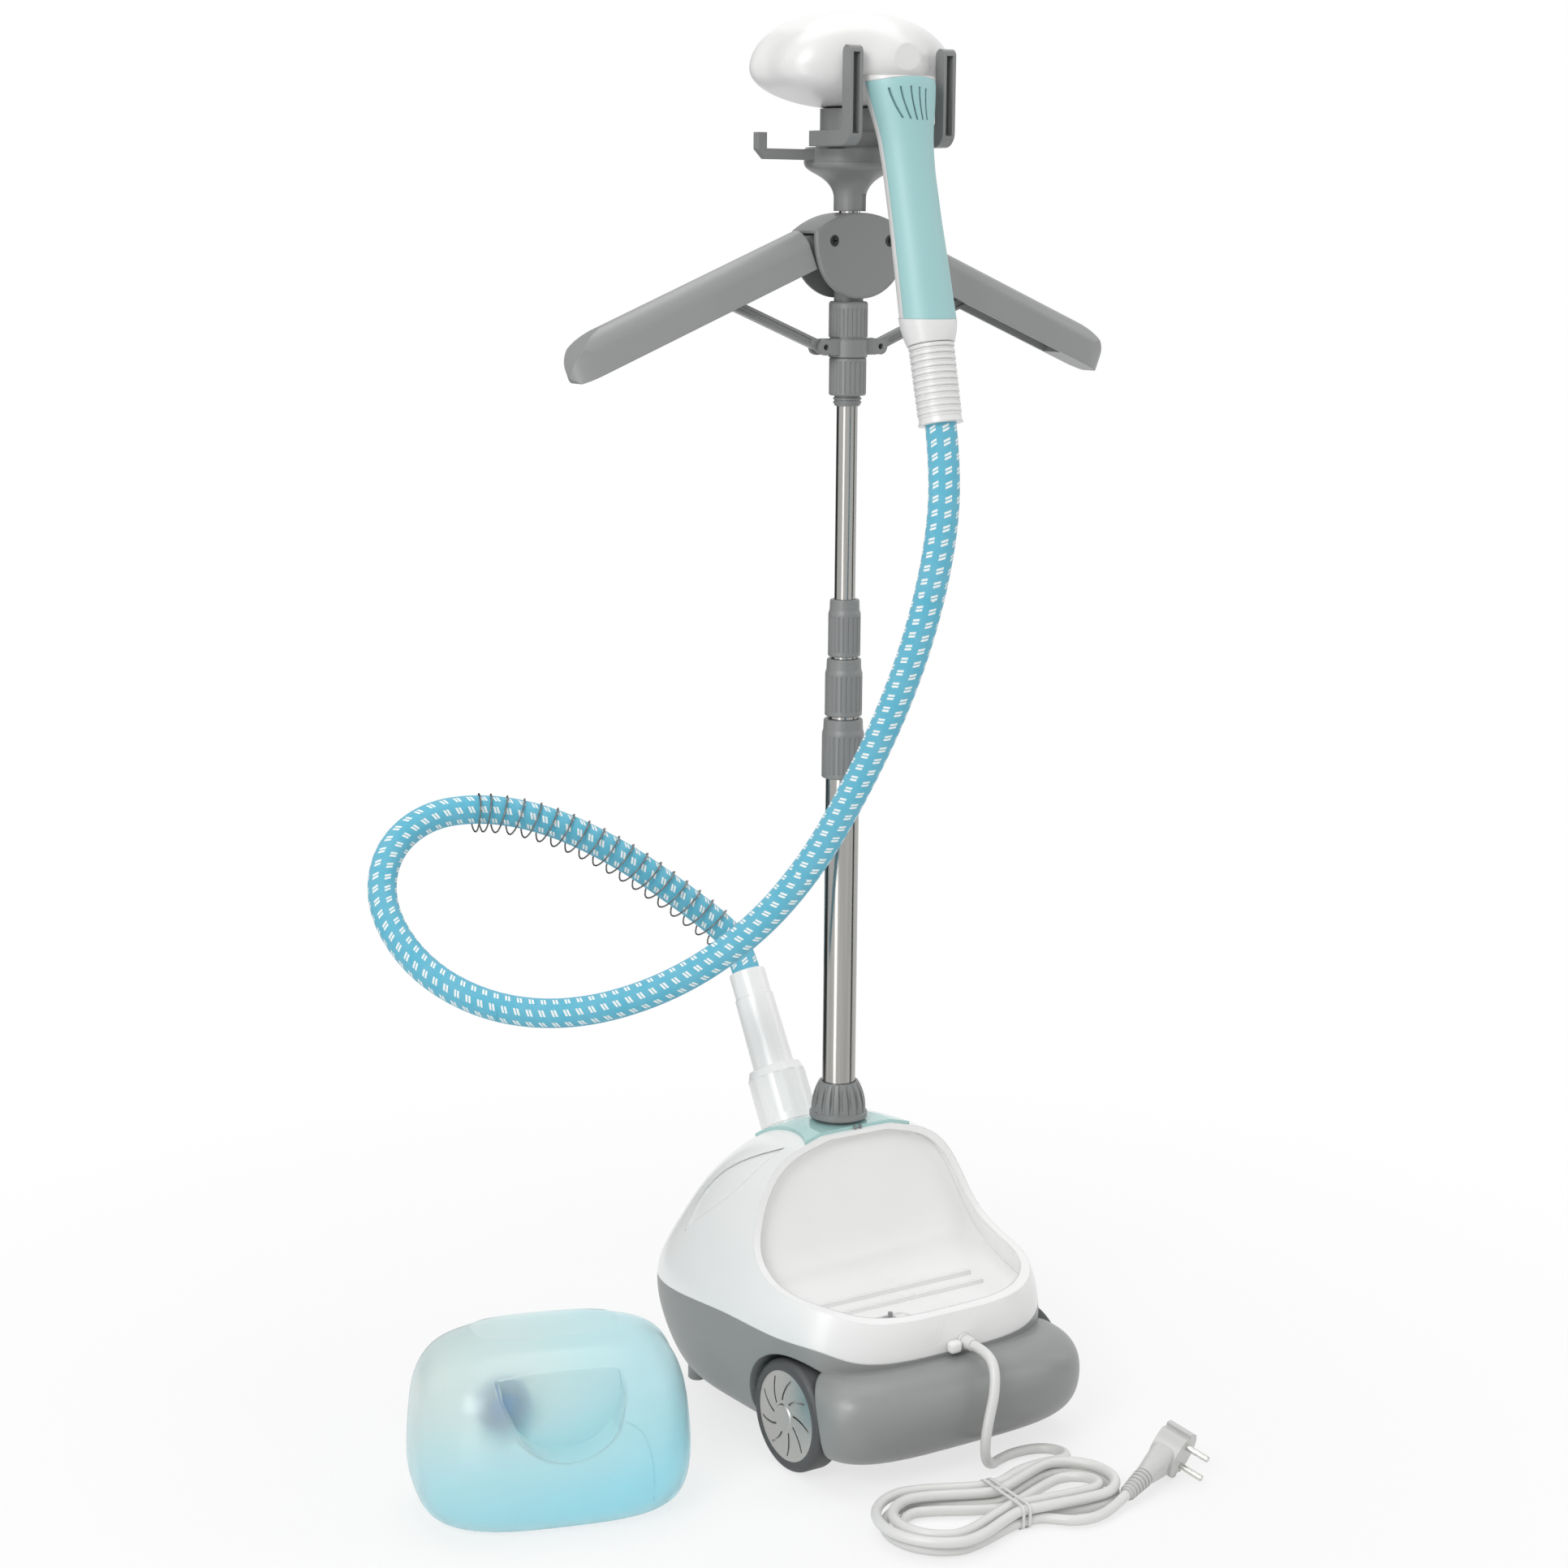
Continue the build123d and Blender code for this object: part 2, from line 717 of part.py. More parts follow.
SLOPE_C = math.cos(math.radians(ARM_SLOPE))
SLOPE_S = math.sin(math.radians(ARM_SLOPE))
ARM_ROOT = at(-PIVOT_X, 0, PIVOT_Z)
ARM_SECTION = Plane(origin=ARM_ROOT, x_dir=(0, -1, 0), z_dir=(-SLOPE_C, 0, -SLOPE_S))
ARM_SIDE = Plane(origin=ARM_ROOT, x_dir=(-SLOPE_C, 0, -SLOPE_S), z_dir=(0, 1, 0))
ARM_PLAN = Plane(origin=ARM_ROOT, x_dir=(-SLOPE_C, 0, -SLOPE_S), z_dir=(-SLOPE_S, 0, SLOPE_C))

with BuildPart() as arm_left:
    with BuildSketch(ARM_SECTION.offset(ARM_START)):
        with BuildLine():
            Polyline((-ARM_HALF, 3), (-ARM_HALF, ARM_LOW), (ARM_HALF, ARM_LOW), (ARM_HALF, 3))
            ThreePointArc((ARM_HALF, 3), (0, ARM_TOP), (-ARM_HALF, 3))
        make_face()
    extrude(amount=ARM_END - ARM_START)
    with BuildSketch(ARM_PLAN):
        with BuildLine():
            tip = ARM_END - ARM_NOSE / 2
            Polyline((tip, -ARM_HALF), (0, -ARM_HALF), (0, ARM_HALF), (tip, ARM_HALF))
            EllipticalCenterArc((tip, 0), ARM_NOSE / 2, ARM_HALF, start_angle=-90, arc_size=180)
        make_face()
    extrude(amount=40, both=True, mode=Mode.INTERSECT)
    with BuildSketch(ARM_SIDE):
        with BuildLine():
            nose = ARM_END - ARM_NOSE
            chin = ARM_LOW + 5
            Polyline((nose, ARM_TOP), (0, ARM_TOP), (0, ARM_LOW), (ARM_END - 4, ARM_LOW), (ARM_END, chin))
            EllipticalCenterArc((nose, chin), ARM_NOSE, ARM_TOP - chin, start_angle=0, arc_size=90)
        make_face()
    extrude(amount=40, both=True, mode=Mode.INTERSECT)
    with BuildSketch(ARM_SECTION.offset(ARM_START + 3)):
        with BuildLine():
            thin = ARM_HALF - 2.2
            Polyline((-thin, 3), (-thin, ARM_LOW - 2), (thin, ARM_LOW - 2), (thin, 3))
            ThreePointArc((thin, 3), (0, ARM_TOP - 2.2), (-thin, 3))
        make_face()
    extrude(amount=ARM_END - ARM_START - ARM_NOSE - 8, mode=Mode.SUBTRACT)
    with BuildSketch(ARM_SIDE):
        Circle(8.5)
        with Locations((10.5, 0)):
            Rectangle(21, 17)
    extrude(amount=6, both=True)
    with BuildSketch(ARM_SIDE):
        Circle(2.55)
    extrude(amount=20, both=True, mode=Mode.SUBTRACT)
    with BuildSketch(ARM_SIDE):
        with Locations((LINK, 0)):
            Circle(2)
    extrude(amount=ARM_HALF - 1, both=True)
    with BuildSketch(ARM_PLAN.offset(-6)):
        with Locations((ARM_END - ARM_NOSE - 14, 0)):
            Circle(5.5)
            Circle(2.4, mode=Mode.SUBTRACT)
    extrude(amount=20)
arm_left.part.label = "arm_left"
export_step(arm_left.part, "parts/arm_left.step")

with BuildPart() as arm_right:
    mirror(arm_left.part, about=MID)
arm_right.part.label = "arm_right"
export_step(arm_right.part, "parts/arm_right.step")

STRUT_SIDE = Plane(
    origin=at(-PIVOT_X - LINK * SLOPE_C, 0, PIVOT_Z - LINK * SLOPE_S),
    x_dir=(SLOPE_C, 0, -SLOPE_S),
    z_dir=(0, -1, 0),
)

with BuildPart() as strut_left:
    with BuildSketch(STRUT_SIDE):
        with Locations((0, 0), (LINK, 0)):
            Circle(4.6)
        with Locations((LINK / 2, 0)):
            Rectangle(LINK, 7.6)
    extrude(amount=3.5, both=True)
    with BuildSketch(STRUT_SIDE):
        Circle(2.05)
        with Locations((LINK, 0)):
            Circle(2.05)
    extrude(amount=10, both=True, mode=Mode.SUBTRACT)
    for face in (-3.5, 3.5):
        with BuildSketch(STRUT_SIDE.offset(face)):
            with Locations((LINK / 2, 0)):
                SlotOverall(82, 3.4)
        extrude(amount=1.2, both=True, mode=Mode.SUBTRACT)
strut_left.part.label = "strut_left"
export_step(strut_left.part, "parts/strut_left.step")

with BuildPart() as strut_right:
    mirror(strut_left.part, about=MID)
strut_right.part.label = "strut_right"
export_step(strut_right.part, "parts/strut_right.step")

with BuildPart() as slider_sleeve:
    with BuildSketch(along(0)):
        with BuildLine():
            Polyline(
                (UPPER_R[0] + FREE, 785),
                (9.2, 785),
                (9.8, 786),
                (9.8, 821.4),
                (14.6, 821.4),
                (14.6, 834.5),
                (13.8, 834.5),
                (13.8, 836.2),
                (14.6, 836.2),
                (14.6, 861),
                (13.6, 862.5),
                (10.4, 861.2),
                (UPPER_R[0] + FREE, 861.2),
                (UPPER_R[0] + FREE, 785),
            )
        make_face()
    revolve(axis=POLE)
    with BuildSketch(level(837)):
        with PolarLocations(14.9, 26):
            Circle(0.8)
    extrude(amount=20, mode=Mode.SUBTRACT)
    with BuildSketch(level(787)):
        Circle(10.6)
        Circle(9.5, mode=Mode.SUBTRACT)
    extrude(amount=1.4)
    with BuildSketch(level(789.8)):
        Circle(10.6)
        Circle(9.5, mode=Mode.SUBTRACT)
    extrude(amount=1.4)
    for side in (-1, 1):
        with BuildSketch(across(0)):
            with Locations((side * PIVOT_X, EAR_Z)):
                Circle(6.0)
                Circle(2.2, mode=Mode.SUBTRACT)
            with Locations((side * 16.8, EAR_Z)):
                Rectangle(8.5, 12)
        extrude(amount=7.6, both=True)
    for side in (-1, 1):
        with Locations(at(side * 26.2, 0, EAR_Z)):
            Box(18.4, 8.6, 30, mode=Mode.SUBTRACT)
    with BuildSketch(level(780)):
        Circle(UPPER_R[0] + FREE)
    extrude(amount=100, mode=Mode.SUBTRACT)
slider_sleeve.part.label = "slider_sleeve"
export_step(slider_sleeve.part, "parts/slider_sleeve.step")

with BuildPart() as slider_nut:
    with BuildSketch(along(0)):
        with BuildLine():
            Polyline(
                (9.8 + FREE, 821.1),
                (9.8 + FREE, 793),
                (13.2, 793),
                (14.0, 794),
                (14.0, 820),
                (13.4, 821.1),
                (9.8 + FREE, 821.1),
            )
        make_face()
    revolve(axis=POLE)
    with BuildSketch(level(795)):
        with PolarLocations(14.4, 22):
            Circle(0.9)
    extrude(amount=23, mode=Mode.SUBTRACT)
slider_nut.part.label = "slider_nut"
export_step(slider_nut.part, "parts/slider_nut.step")

# Handset holder on top of the pole

with BuildPart() as holder_cup:
    with BuildSketch(along(0)):
        with BuildLine():
            bore = UPPER_R[0]
            Polyline((34.4, 964), (0, 964), (0, 950), (bore, 950), (bore, 928.6), (12, 928.6), (12, 937))
            Spline((12, 937), (13.4, 944), (19, 951), (28, 956.5), (33.6, 961), (34.4, 964))
        make_face()
    revolve(axis=POLE)
    with Locations(at(6.5, -11, 934)):
        Box(7, 6, 14, mode=Mode.SUBTRACT)
holder_cup.part.label = "holder_cup"
export_step(holder_cup.part, "parts/holder_cup.step")

with BuildPart() as holder_disc:
    with BuildSketch(level(964)):
        Circle(34.4)
    extrude(amount=10.5)
    chamfer(holder_disc.edges().group_by(Axis.Z)[-1], length=1.5)
    with BuildSketch(across(0)):
        with BuildLine():
            Polyline(
                (-30, 965),
                (-77, 965),
                (-84, 972),
                (-84, 984),
                (-76.5, 984),
                (-76.5, 972.6),
                (-30, 972.6),
                close=True,
            )
        make_face()
    extrude(amount=3.2, both=True)
holder_disc.part.label = "holder_disc"
export_step(holder_disc.part, "parts/holder_disc.step")

with BuildPart() as holder_yoke:
    with BuildSketch(level(974.5)):
        Circle(25.7)
    extrude(amount=11)
    with BuildSketch(level(985.5)):
        Circle(22.8)
    extrude(amount=HEAD_Z - 34.9 - 985.5)
    with Locations(at(0, -19.5, 980)):
        Box(94, 11, 11)
    for side in (-1, 1):
        with BuildSketch(along(side * 36)):
            with BuildLine():
                Polyline((-14, 974.5), (-54, 974.5))
                ThreePointArc((-54, 974.5), (-61.8, 977.7), (-65, 985.5))
                top = HEAD_Z + 7.2
                Line((-65, 985.5), (-65, top - 5))
                ThreePointArc((-65, top - 5), (-60, top), (-55, top - 5))
                Polyline((-55, top - 5), (-55, 992), (-52, 985.5), (-14, 985.5))
                Line((-14, 985.5), (-14, 974.5))
            make_face()
        extrude(amount=side * 11)
        with BuildSketch(along(side * 38.6)):
            with BuildLine():
                Polyline((-70, 983), (-70, top - 5), (-58, top - 5), (-58, 986), (-61, 983), (-70, 983))
            make_face()
        extrude(amount=side * 5.8, mode=Mode.SUBTRACT)
holder_yoke.part.label = "holder_yoke"
export_step(holder_yoke.part, "parts/holder_yoke.step")

# Handset


def grip_rows():
    """Cross sections of the grip, from the head down, at even steps."""
    rows = []
    for step in range(GRIP_STEPS + 1):
        drop = GRIP[0][0] + (GRIP[-1][0] - GRIP[0][0]) * step / GRIP_STEPS
        above = max(i for i in range(len(GRIP) - 1) if GRIP[i][0] <= drop + 1e-6)
        share = (drop - GRIP[above][0]) / (GRIP[above + 1][0] - GRIP[above][0])
        y, half_width, half_depth = (a + (b - a) * share for a, b in zip(GRIP[above][1:], GRIP[above + 1][1:]))
        with BuildSketch(level(HEAD_Z - drop)) as row:
            with Locations((0, y)):
                Ellipse(half_width, half_depth)
        rows.append(row.sketch)
    return rows


def head_points(half_width, half_height):
    """Points round the steam head: its side tips hang below the middle."""
    points = []
    for step in range(28):
        angle = 2 * math.pi * step / 28
        lift = half_height * (1 + HEAD_SAG if math.sin(angle) >= 0 else 1 - HEAD_SAG)
        points.append((half_width * math.cos(angle), HEAD_Z - HEAD_SAG * half_height + lift * math.sin(angle)))
    return points


def head_row(y, half_width, half_height):
    """Outline of the steam head at one depth."""
    with BuildSketch(across(y)) as row:
        with BuildLine():
            Spline(*head_points(half_width, half_height), periodic=True)
        make_face()
    return row.sketch


REAR_LINE = ((-55, 23), (-56.5, -13.4), (-63.5, -41.4), (-72, -77.4), (-80.5, -112.4), (-98, -184.4), (-101, -198))
GRIP_REAR = [(y, HEAD_Z + z) for y, z in REAR_LINE]

GRIP_BACK = ((-200, GRIP_REAR[-1][1]), (-200, GRIP_REAR[0][1]))

with BuildPart() as grip_panel:
    loft(sections=grip_rows())
    extrude(bounded(GRIP_REAR, GRIP_BACK), amount=60, both=True, mode=Mode.INTERSECT)
    with BuildSketch(across(0)):
        with BuildLine():
            edge = HEAD_Z - 21.4
            Polyline((-40, edge), (-40, GRIP_END - 50), (40, GRIP_END - 50), (40, edge))
            ThreePointArc((40, edge), (0, edge + 7.5), (-40, edge))
        make_face()
    extrude(amount=150, mode=Mode.INTERSECT)
    slits = (
        (-20.5, 22.4, -12.5, 43.4),
        (-13.5, 21.4, -7, 43.9),
        (-6, 20.9, -2, 44.4),
        (1, 21.4, 2.8, 44.4),
        (7, 22.4, 7, 44.4),
    )
    for x_top, drop_top, x_low, drop_low in slits:
        z_top, z_low = HEAD_Z - drop_top, HEAD_Z - drop_low
        with BuildSketch(across(-66)):
            with BuildLine():
                lean = (x_top + x_low) / 2 - 1.0
                ThreePointArc((x_top, z_top), (lean, (z_top + z_low) / 2), (x_low, z_low))
            trace(line_width=1.3)
        extrude(amount=40, mode=Mode.SUBTRACT)
grip_panel.part.label = "grip_panel"
export_step(grip_panel.part, "parts/grip_panel.step")

with BuildPart() as grip_core:
    loft(sections=grip_rows())
    extrude(bounded(GRIP_REAR, GRIP_BACK), amount=60, both=True, mode=Mode.INTERSECT)
    with BuildSketch(across(0)):
        with BuildLine():
            edge = HEAD_Z - 21.4
            Polyline((-40, edge), (-40, GRIP_END - 50), (40, GRIP_END - 50), (40, edge))
            ThreePointArc((40, edge), (0, edge + 7.5), (-40, edge))
        make_face()
    extrude(amount=150, mode=Mode.INTERSECT)

with BuildPart() as handset_shell:
    loft(sections=[head_row(*row) for row in HEAD])
    loft(sections=grip_rows())
    add(grip_core.part, mode=Mode.SUBTRACT)
handset_shell.part.label = "handset_shell"
export_step(handset_shell.part, "parts/handset_shell.step")

with BuildPart() as steam_plate:
    with BuildSketch(across(HEAD[0][0])):
        with BuildLine():
            Spline(*head_points(HEAD[0][1] - 3, HEAD[0][2] - 2.4), periodic=True)
        make_face()
        with Locations((0, HEAD_Z)):
            Ellipse(12, 3, mode=Mode.SUBTRACT)
        for row, count in ((14, 7), (0, 0), (-14, 7)):
            if count:
                with Locations((0, HEAD_Z + row)):
                    with GridLocations(15, 1, count, 1):
                        Circle(2.0, mode=Mode.SUBTRACT)
        with Locations((-30, HEAD_Z), (30, HEAD_Z), (-48, HEAD_Z), (48, HEAD_Z)):
            Circle(2.0, mode=Mode.SUBTRACT)
    extrude(amount=-3.5)
steam_plate.part.label = "steam_plate"
export_step(steam_plate.part, "parts/steam_plate.step")

SHANK_DIR = (0, -math.sin(math.radians(SHANK)), -math.cos(math.radians(SHANK)))
SHANK_PLANE = Plane(origin=at(0, GRIP[-1][1], GRIP_END), x_dir=(1, 0, 0), z_dir=SHANK_DIR)

with BuildPart() as handset_collar:
    with BuildSketch(SHANK_PLANE.offset(-4)):
        Ellipse(GRIP[-1][2] + 0.4, GRIP[-1][3] + 0.4)
    with BuildSketch(SHANK_PLANE.offset(10)):
        Circle(19.8)
    with BuildSketch(SHANK_PLANE.offset(19)):
        Circle(17.4)
    loft()
    with BuildSketch(level(GRIP_END)):
        Rectangle(400, 500)
    extrude(amount=30, mode=Mode.SUBTRACT)
handset_collar.part.label = "handset_collar"
export_step(handset_collar.part, "parts/handset_collar.step")

BOOT_LENGTH = 58.0
RIBS = 11
RIB_PITCH = (BOOT_LENGTH - 6.0) / RIBS

with BuildPart() as hose_boot:
    with BuildSketch(SHANK_PLANE.offset(19)):
        Circle(15.6)
    extrude(amount=BOOT_LENGTH - 5)
    for rib in range(RIBS):
        with BuildSketch(SHANK_PLANE.offset(19.5 + rib * RIB_PITCH)):
            Circle(16.6 - 0.05 * rib)
        extrude(amount=RIB_PITCH - 1.9)
    with BuildSketch(SHANK_PLANE.offset(19 + BOOT_LENGTH - 5)):
        Circle(15.4)
    with BuildSketch(SHANK_PLANE.offset(19 + BOOT_LENGTH)):
        Circle(16.4)
    loft()
    with BuildSketch(SHANK_PLANE.offset(19 + BOOT_LENGTH - 12)):
        Circle(HOSE_R)
    extrude(amount=20, mode=Mode.SUBTRACT)
hose_boot.part.label = "hose_boot"
export_step(hose_boot.part, "parts/hose_boot.step")

# Steam hose and its fittings at the base

with BuildPart() as hose_fitting:
    with BuildSketch(HOSE.offset(34)):
        Circle(16.8)
    extrude(amount=26)
    with BuildSketch(HOSE.offset(60)):
        Circle(16.8)
    with BuildSketch(HOSE.offset(120)):
        Circle(15.8)
    loft()
    with BuildSketch(HOSE.offset(120)):
        Circle(14.8)
    extrude(amount=HOSE_TOP - 120)
    fillet(hose_fitting.edges().sort_by(lambda e: HOSE.to_local_coords(e.center()).Z)[-1], radius=1.0)
    with BuildSketch(HOSE.offset(34)):
        Circle(9)
    extrude(amount=90, mode=Mode.SUBTRACT)
    with BuildSketch(HOSE.offset(HOSE_TOP - 18)):
        Circle(HOSE_R)
    extrude(amount=30, mode=Mode.SUBTRACT)
hose_fitting.part.label = "hose_fitting"
export_step(hose_fitting.part, "parts/hose_fitting.step")

with BuildPart() as hose_nut:
    with BuildSketch(HOSE.offset(13)):
        Circle(23.6)
    extrude(amount=40)
    with BuildSketch(HOSE.offset(53)):
        Circle(23.6)
    with BuildSketch(HOSE.offset(60)):
        Circle(21.0)
    loft()
    with BuildSketch(HOSE.offset(20)):
        with PolarLocations(24.2, 12):
            RectangleRounded(1.8, 7.6, 0.8)
    extrude(amount=33, mode=Mode.SUBTRACT)
    with BuildSketch(HOSE.offset(10)):
        Circle(16.8 + FREE)
    extrude(amount=60, mode=Mode.SUBTRACT)
hose_nut.part.label = "hose_nut"
export_step(hose_nut.part, "parts/hose_nut.step")


def round_route(points):
    """Largest tangent radius at each corner of a route."""
    radii = []
    for before, corner, after in zip(points, points[1:], points[2:]):
        short = min((corner - before).length, (after - corner).length)
        half = math.radians((corner - before).get_angle(after - corner)) / 2
        radii.append(0.45 * short / math.tan(half))
    return radii


BOOT_END = SHANK_PLANE.from_local_coords(Vector(0, 0, 19 + BOOT_LENGTH - 12))
BOOT_OUT = SHANK_PLANE.from_local_coords(Vector(0, 0, 19 + BOOT_LENGTH + 22))
FITTING_IN = HOSE.from_local_coords(Vector(0, 0, HOSE_TOP - 18))
FITTING_OUT = HOSE.from_local_coords(Vector(0, 0, HOSE_TOP + 20))
HOSE_ROUTE = [
    BOOT_END,
    BOOT_OUT,
    at(-3, -126, 706),
    at(-10, -116, 640),
    at(-20, -96, 575),
    at(-34, -68, 510),
    at(-54, -38, 445),
    at(-85, -4, 389),
    at(-132, 36, 345),
    at(-186, 83, 320),
    at(-234, 132, 320),
    at(-270, 181, 344),
    at(-285, 221, 386),
    at(-271, 241, 428),
    at(-234, 242, 455),
    at(-187, 228, 459),
    at(-137, 209, 446),
    at(-86, 187, 417),
    at(-40, 167, 380),
    at(-9, 151, 352),
    FITTING_OUT,
    FITTING_IN,
]
HOSE_RADII = round_route(HOSE_ROUTE)
print("hose radii", [round(r) for r in HOSE_RADII])

with BuildPart() as hose:
    with BuildLine():
        hose_path = FilletPolyline(*HOSE_ROUTE, radius=HOSE_RADII)
    with BuildSketch(Plane(origin=hose_path @ 0, z_dir=hose_path % 0)):
        Circle(HOSE_R)
        Circle(HOSE_BORE, mode=Mode.SUBTRACT)
    sweep()
HOSE_LENGTH = hose_path.length
ring = math.pi * (HOSE_R**2 - HOSE_BORE**2)
print("hose length", round(HOSE_LENGTH))
print("hose volume over section times length", round(hose.part.volume / ring / HOSE_LENGTH, 4))
hose.part.label = "hose"
export_step(hose.part, "parts/hose.step")


def biarc(start, start_dir, stop, stop_dir):
    """Middle point of the two arcs that join two directed points."""
    gap = stop - start
    both = start_dir + stop_dir
    a = 2 * (start_dir.dot(stop_dir) - 1)
    b = -2 * gap.dot(both)
    c = gap.dot(gap)
    if abs(a) < 1e-6:
        reach = -c / b
    else:
        root = math.sqrt(max(0.0, b * b - 4 * a * c))
        reach = min(r for r in ((-b + root) / (2 * a), (-b - root) / (2 * a)) if r > 0)
    return (start + start_dir * reach + stop - stop_dir * reach) / 2


def least_gap(points, skip, diameter):
    """Least clear distance between parts of one tube that aren't neighbours."""
    least = 1e9
    for i, first in enumerate(points):
        for second in points[i + skip:]:
            least = min(least, (first - second).length)
    return least - diameter


# Guard spring round the hose, hung on it, with its curls closed up at the far end

TURNS = 19
STEPS = 4 * TURNS


def hose_at(distance):
    """Middle of the hose at a distance from the base fitting, and its direction."""
    place = hose_path.position_at(HOSE_LENGTH - distance, position_mode=PositionMode.LENGTH)
    way = hose_path.tangent_at(HOSE_LENGTH - distance, position_mode=PositionMode.LENGTH)
    return place, way * -1


def spring_point(turn):
    """Point of the spring's wire after a number of turns from the base end."""
    if turn < TURNS - 2.5:
        distance = 52.0 + 13.2 * turn
    else:
        over = turn - (TURNS - 2.5)
        distance = 52.0 + 13.2 * (TURNS - 2.5) + 13.2 * over - 1.78 * over * over
    middle, way = hose_at(distance)
    side = way.cross(Vector(0, 0, 1)).normalized()
    over_top = side.cross(way)
    angle = 2 * math.pi * turn
    round_it = side * (SPRING_R * math.cos(angle)) + over_top * (SPRING_R * math.sin(angle))
    return middle + Vector(0, 0, -2.6) + round_it


spring_points = [spring_point(i / 4) for i in range(STEPS + 1)]
spring_ways = [
    (spring_point(i / 4 + 0.002) - spring_point(max(0.0, i / 4 - 0.002))).normalized() for i in range(STEPS + 1)
]
with BuildPart() as hose_spring:
    with BuildLine() as spring_line:
        for i in range(STEPS):
            middle_point = biarc(spring_points[i], spring_ways[i], spring_points[i + 1], spring_ways[i + 1])
            first_arc = TangentArc(spring_points[i], middle_point, tangent=spring_ways[i])
            TangentArc(middle_point, spring_points[i + 1], tangent=first_arc % 1)
    with BuildSketch(Plane(origin=spring_line.wire() @ 0, z_dir=spring_line.wire() % 0)):
        Circle(SPRING_WIRE)
    sweep()
fine = [spring_point(i / 24) for i in range(24 * TURNS + 1)]
print("spring least gap", round(least_gap(fine, 14, 2 * SPRING_WIRE), 2), "curls", TURNS)
hose_spring.part.label = "hose_spring"
export_step(hose_spring.part, "parts/hose_spring.step")

# Water tank, in its own plane

TANK_PLANE = Plane(
    origin=at(TANK_X, TANK_Y, 0),
    x_dir=Vector(1, 0, 0).rotate(Axis.Z, TANK_TURN),
    z_dir=(0, 0, 1),
)
TANK_BACK = Plane(
    origin=at(TANK_X, TANK_Y, 0),
    x_dir=Vector(1, 0, 0).rotate(Axis.Z, TANK_TURN),
    z_dir=Vector(0, -1, 0).rotate(Axis.Z, TANK_TURN),
)


def tank_rows(inset):
    """Outlines of the tank: flat at the back, bulging in front."""
    rows = []
    for z, width, depth, power in TANK:
        height = inset + z * (TANK_HIGH - 2 * inset)
        with BuildSketch(TANK_PLANE.offset(height)) as row:
            with BuildLine():
                half = width - inset
                Spline(*oval(half, inset - depth, -inset, -22.0, power), periodic=True)
            make_face()
        rows.append(row.sketch)
    return rows


def notch(grow, depth):
    """Finger recess in the front of the tank."""
    with BuildSketch(TANK_BACK.offset(depth)) as face:
        with BuildLine():
            Polyline((-50 - grow, 140), (-45 - grow, 101), (-34 - grow, 76 - grow))
            ThreePointArc((-34 - grow, 76 - grow), (-2, 58 - grow), (36 + grow, 77 - grow))
            Polyline((36 + grow, 77 - grow), (43 + grow, 98), (38 + grow, 140), (-50 - grow, 140))
        make_face()
    return face.sketch


CAP_U = -28.0
CAP_Z = 62.0

with BuildPart() as tank_hollow:
    loft(sections=tank_rows(TANK_WALL))
    extrude(notch(TANK_WALL, 86.0 - TANK_WALL), amount=60, mode=Mode.SUBTRACT)
    with BuildSketch(TANK_BACK.offset(-5)):
        with Locations((CAP_U, CAP_Z)):
            Circle(24.5 + TANK_WALL)
    extrude(amount=19 + TANK_WALL, mode=Mode.SUBTRACT)

with BuildPart() as tank_body:
    loft(sections=tank_rows(0.0))
    extrude(notch(0.0, 86.0), amount=60, mode=Mode.SUBTRACT)
    with BuildSketch(TANK_BACK.offset(-5)):
        with Locations((CAP_U, CAP_Z)):
            Circle(24.5)
            Circle(16.0, mode=Mode.SUBTRACT)
    extrude(amount=19, mode=Mode.SUBTRACT)
    with BuildSketch(TANK_BACK.offset(-5)):
        with Locations((CAP_U, CAP_Z)):
            Circle(17)
    extrude(amount=9, mode=Mode.SUBTRACT)
    add(tank_hollow.part, mode=Mode.SUBTRACT)
    with BuildSketch(TANK_BACK.offset(-5)):
        with Locations((CAP_U, CAP_Z)):
            Circle(13.5)
    extrude(amount=30, mode=Mode.SUBTRACT)
tank_body.part.label = "tank_body"
export_step(tank_body.part, "parts/tank_body.step")

with BuildPart() as tank_cap:
    with BuildSketch(TANK_BACK.offset(1)):
        with Locations((CAP_U, CAP_Z)):
            Circle(21)
    extrude(amount=12.2)
    with BuildSketch(TANK_BACK.offset(3.8)):
        with Locations((CAP_U, CAP_Z)):
            Circle(16.0 + FREE)
    extrude(amount=20, mode=Mode.SUBTRACT)
    with BuildSketch(TANK_BACK.offset(0)):
        with Locations((CAP_U, CAP_Z)):
            with PolarLocations(21.3, 24):
                Circle(0.9)
    extrude(amount=20, mode=Mode.SUBTRACT)
tank_cap.part.label = "tank_cap"
export_step(tank_cap.part, "parts/tank_cap.step")

# Mains cord: lead, tied hank, tail and plug


def hank_point(p, q, z):
    """Point of the hank: p along it, q towards the base, both from the tie."""
    turned = Vector(p, q).rotate(Axis.Z, math.degrees(HANK_TURN))
    return at(TIE[0] + turned.X, TIE[1] + turned.Y, z)


def hank_way(p, q):
    """Direction in the hank's own plane."""
    return Vector(p, q, 0).rotate(Axis.Z, math.degrees(HANK_TURN)).normalized()


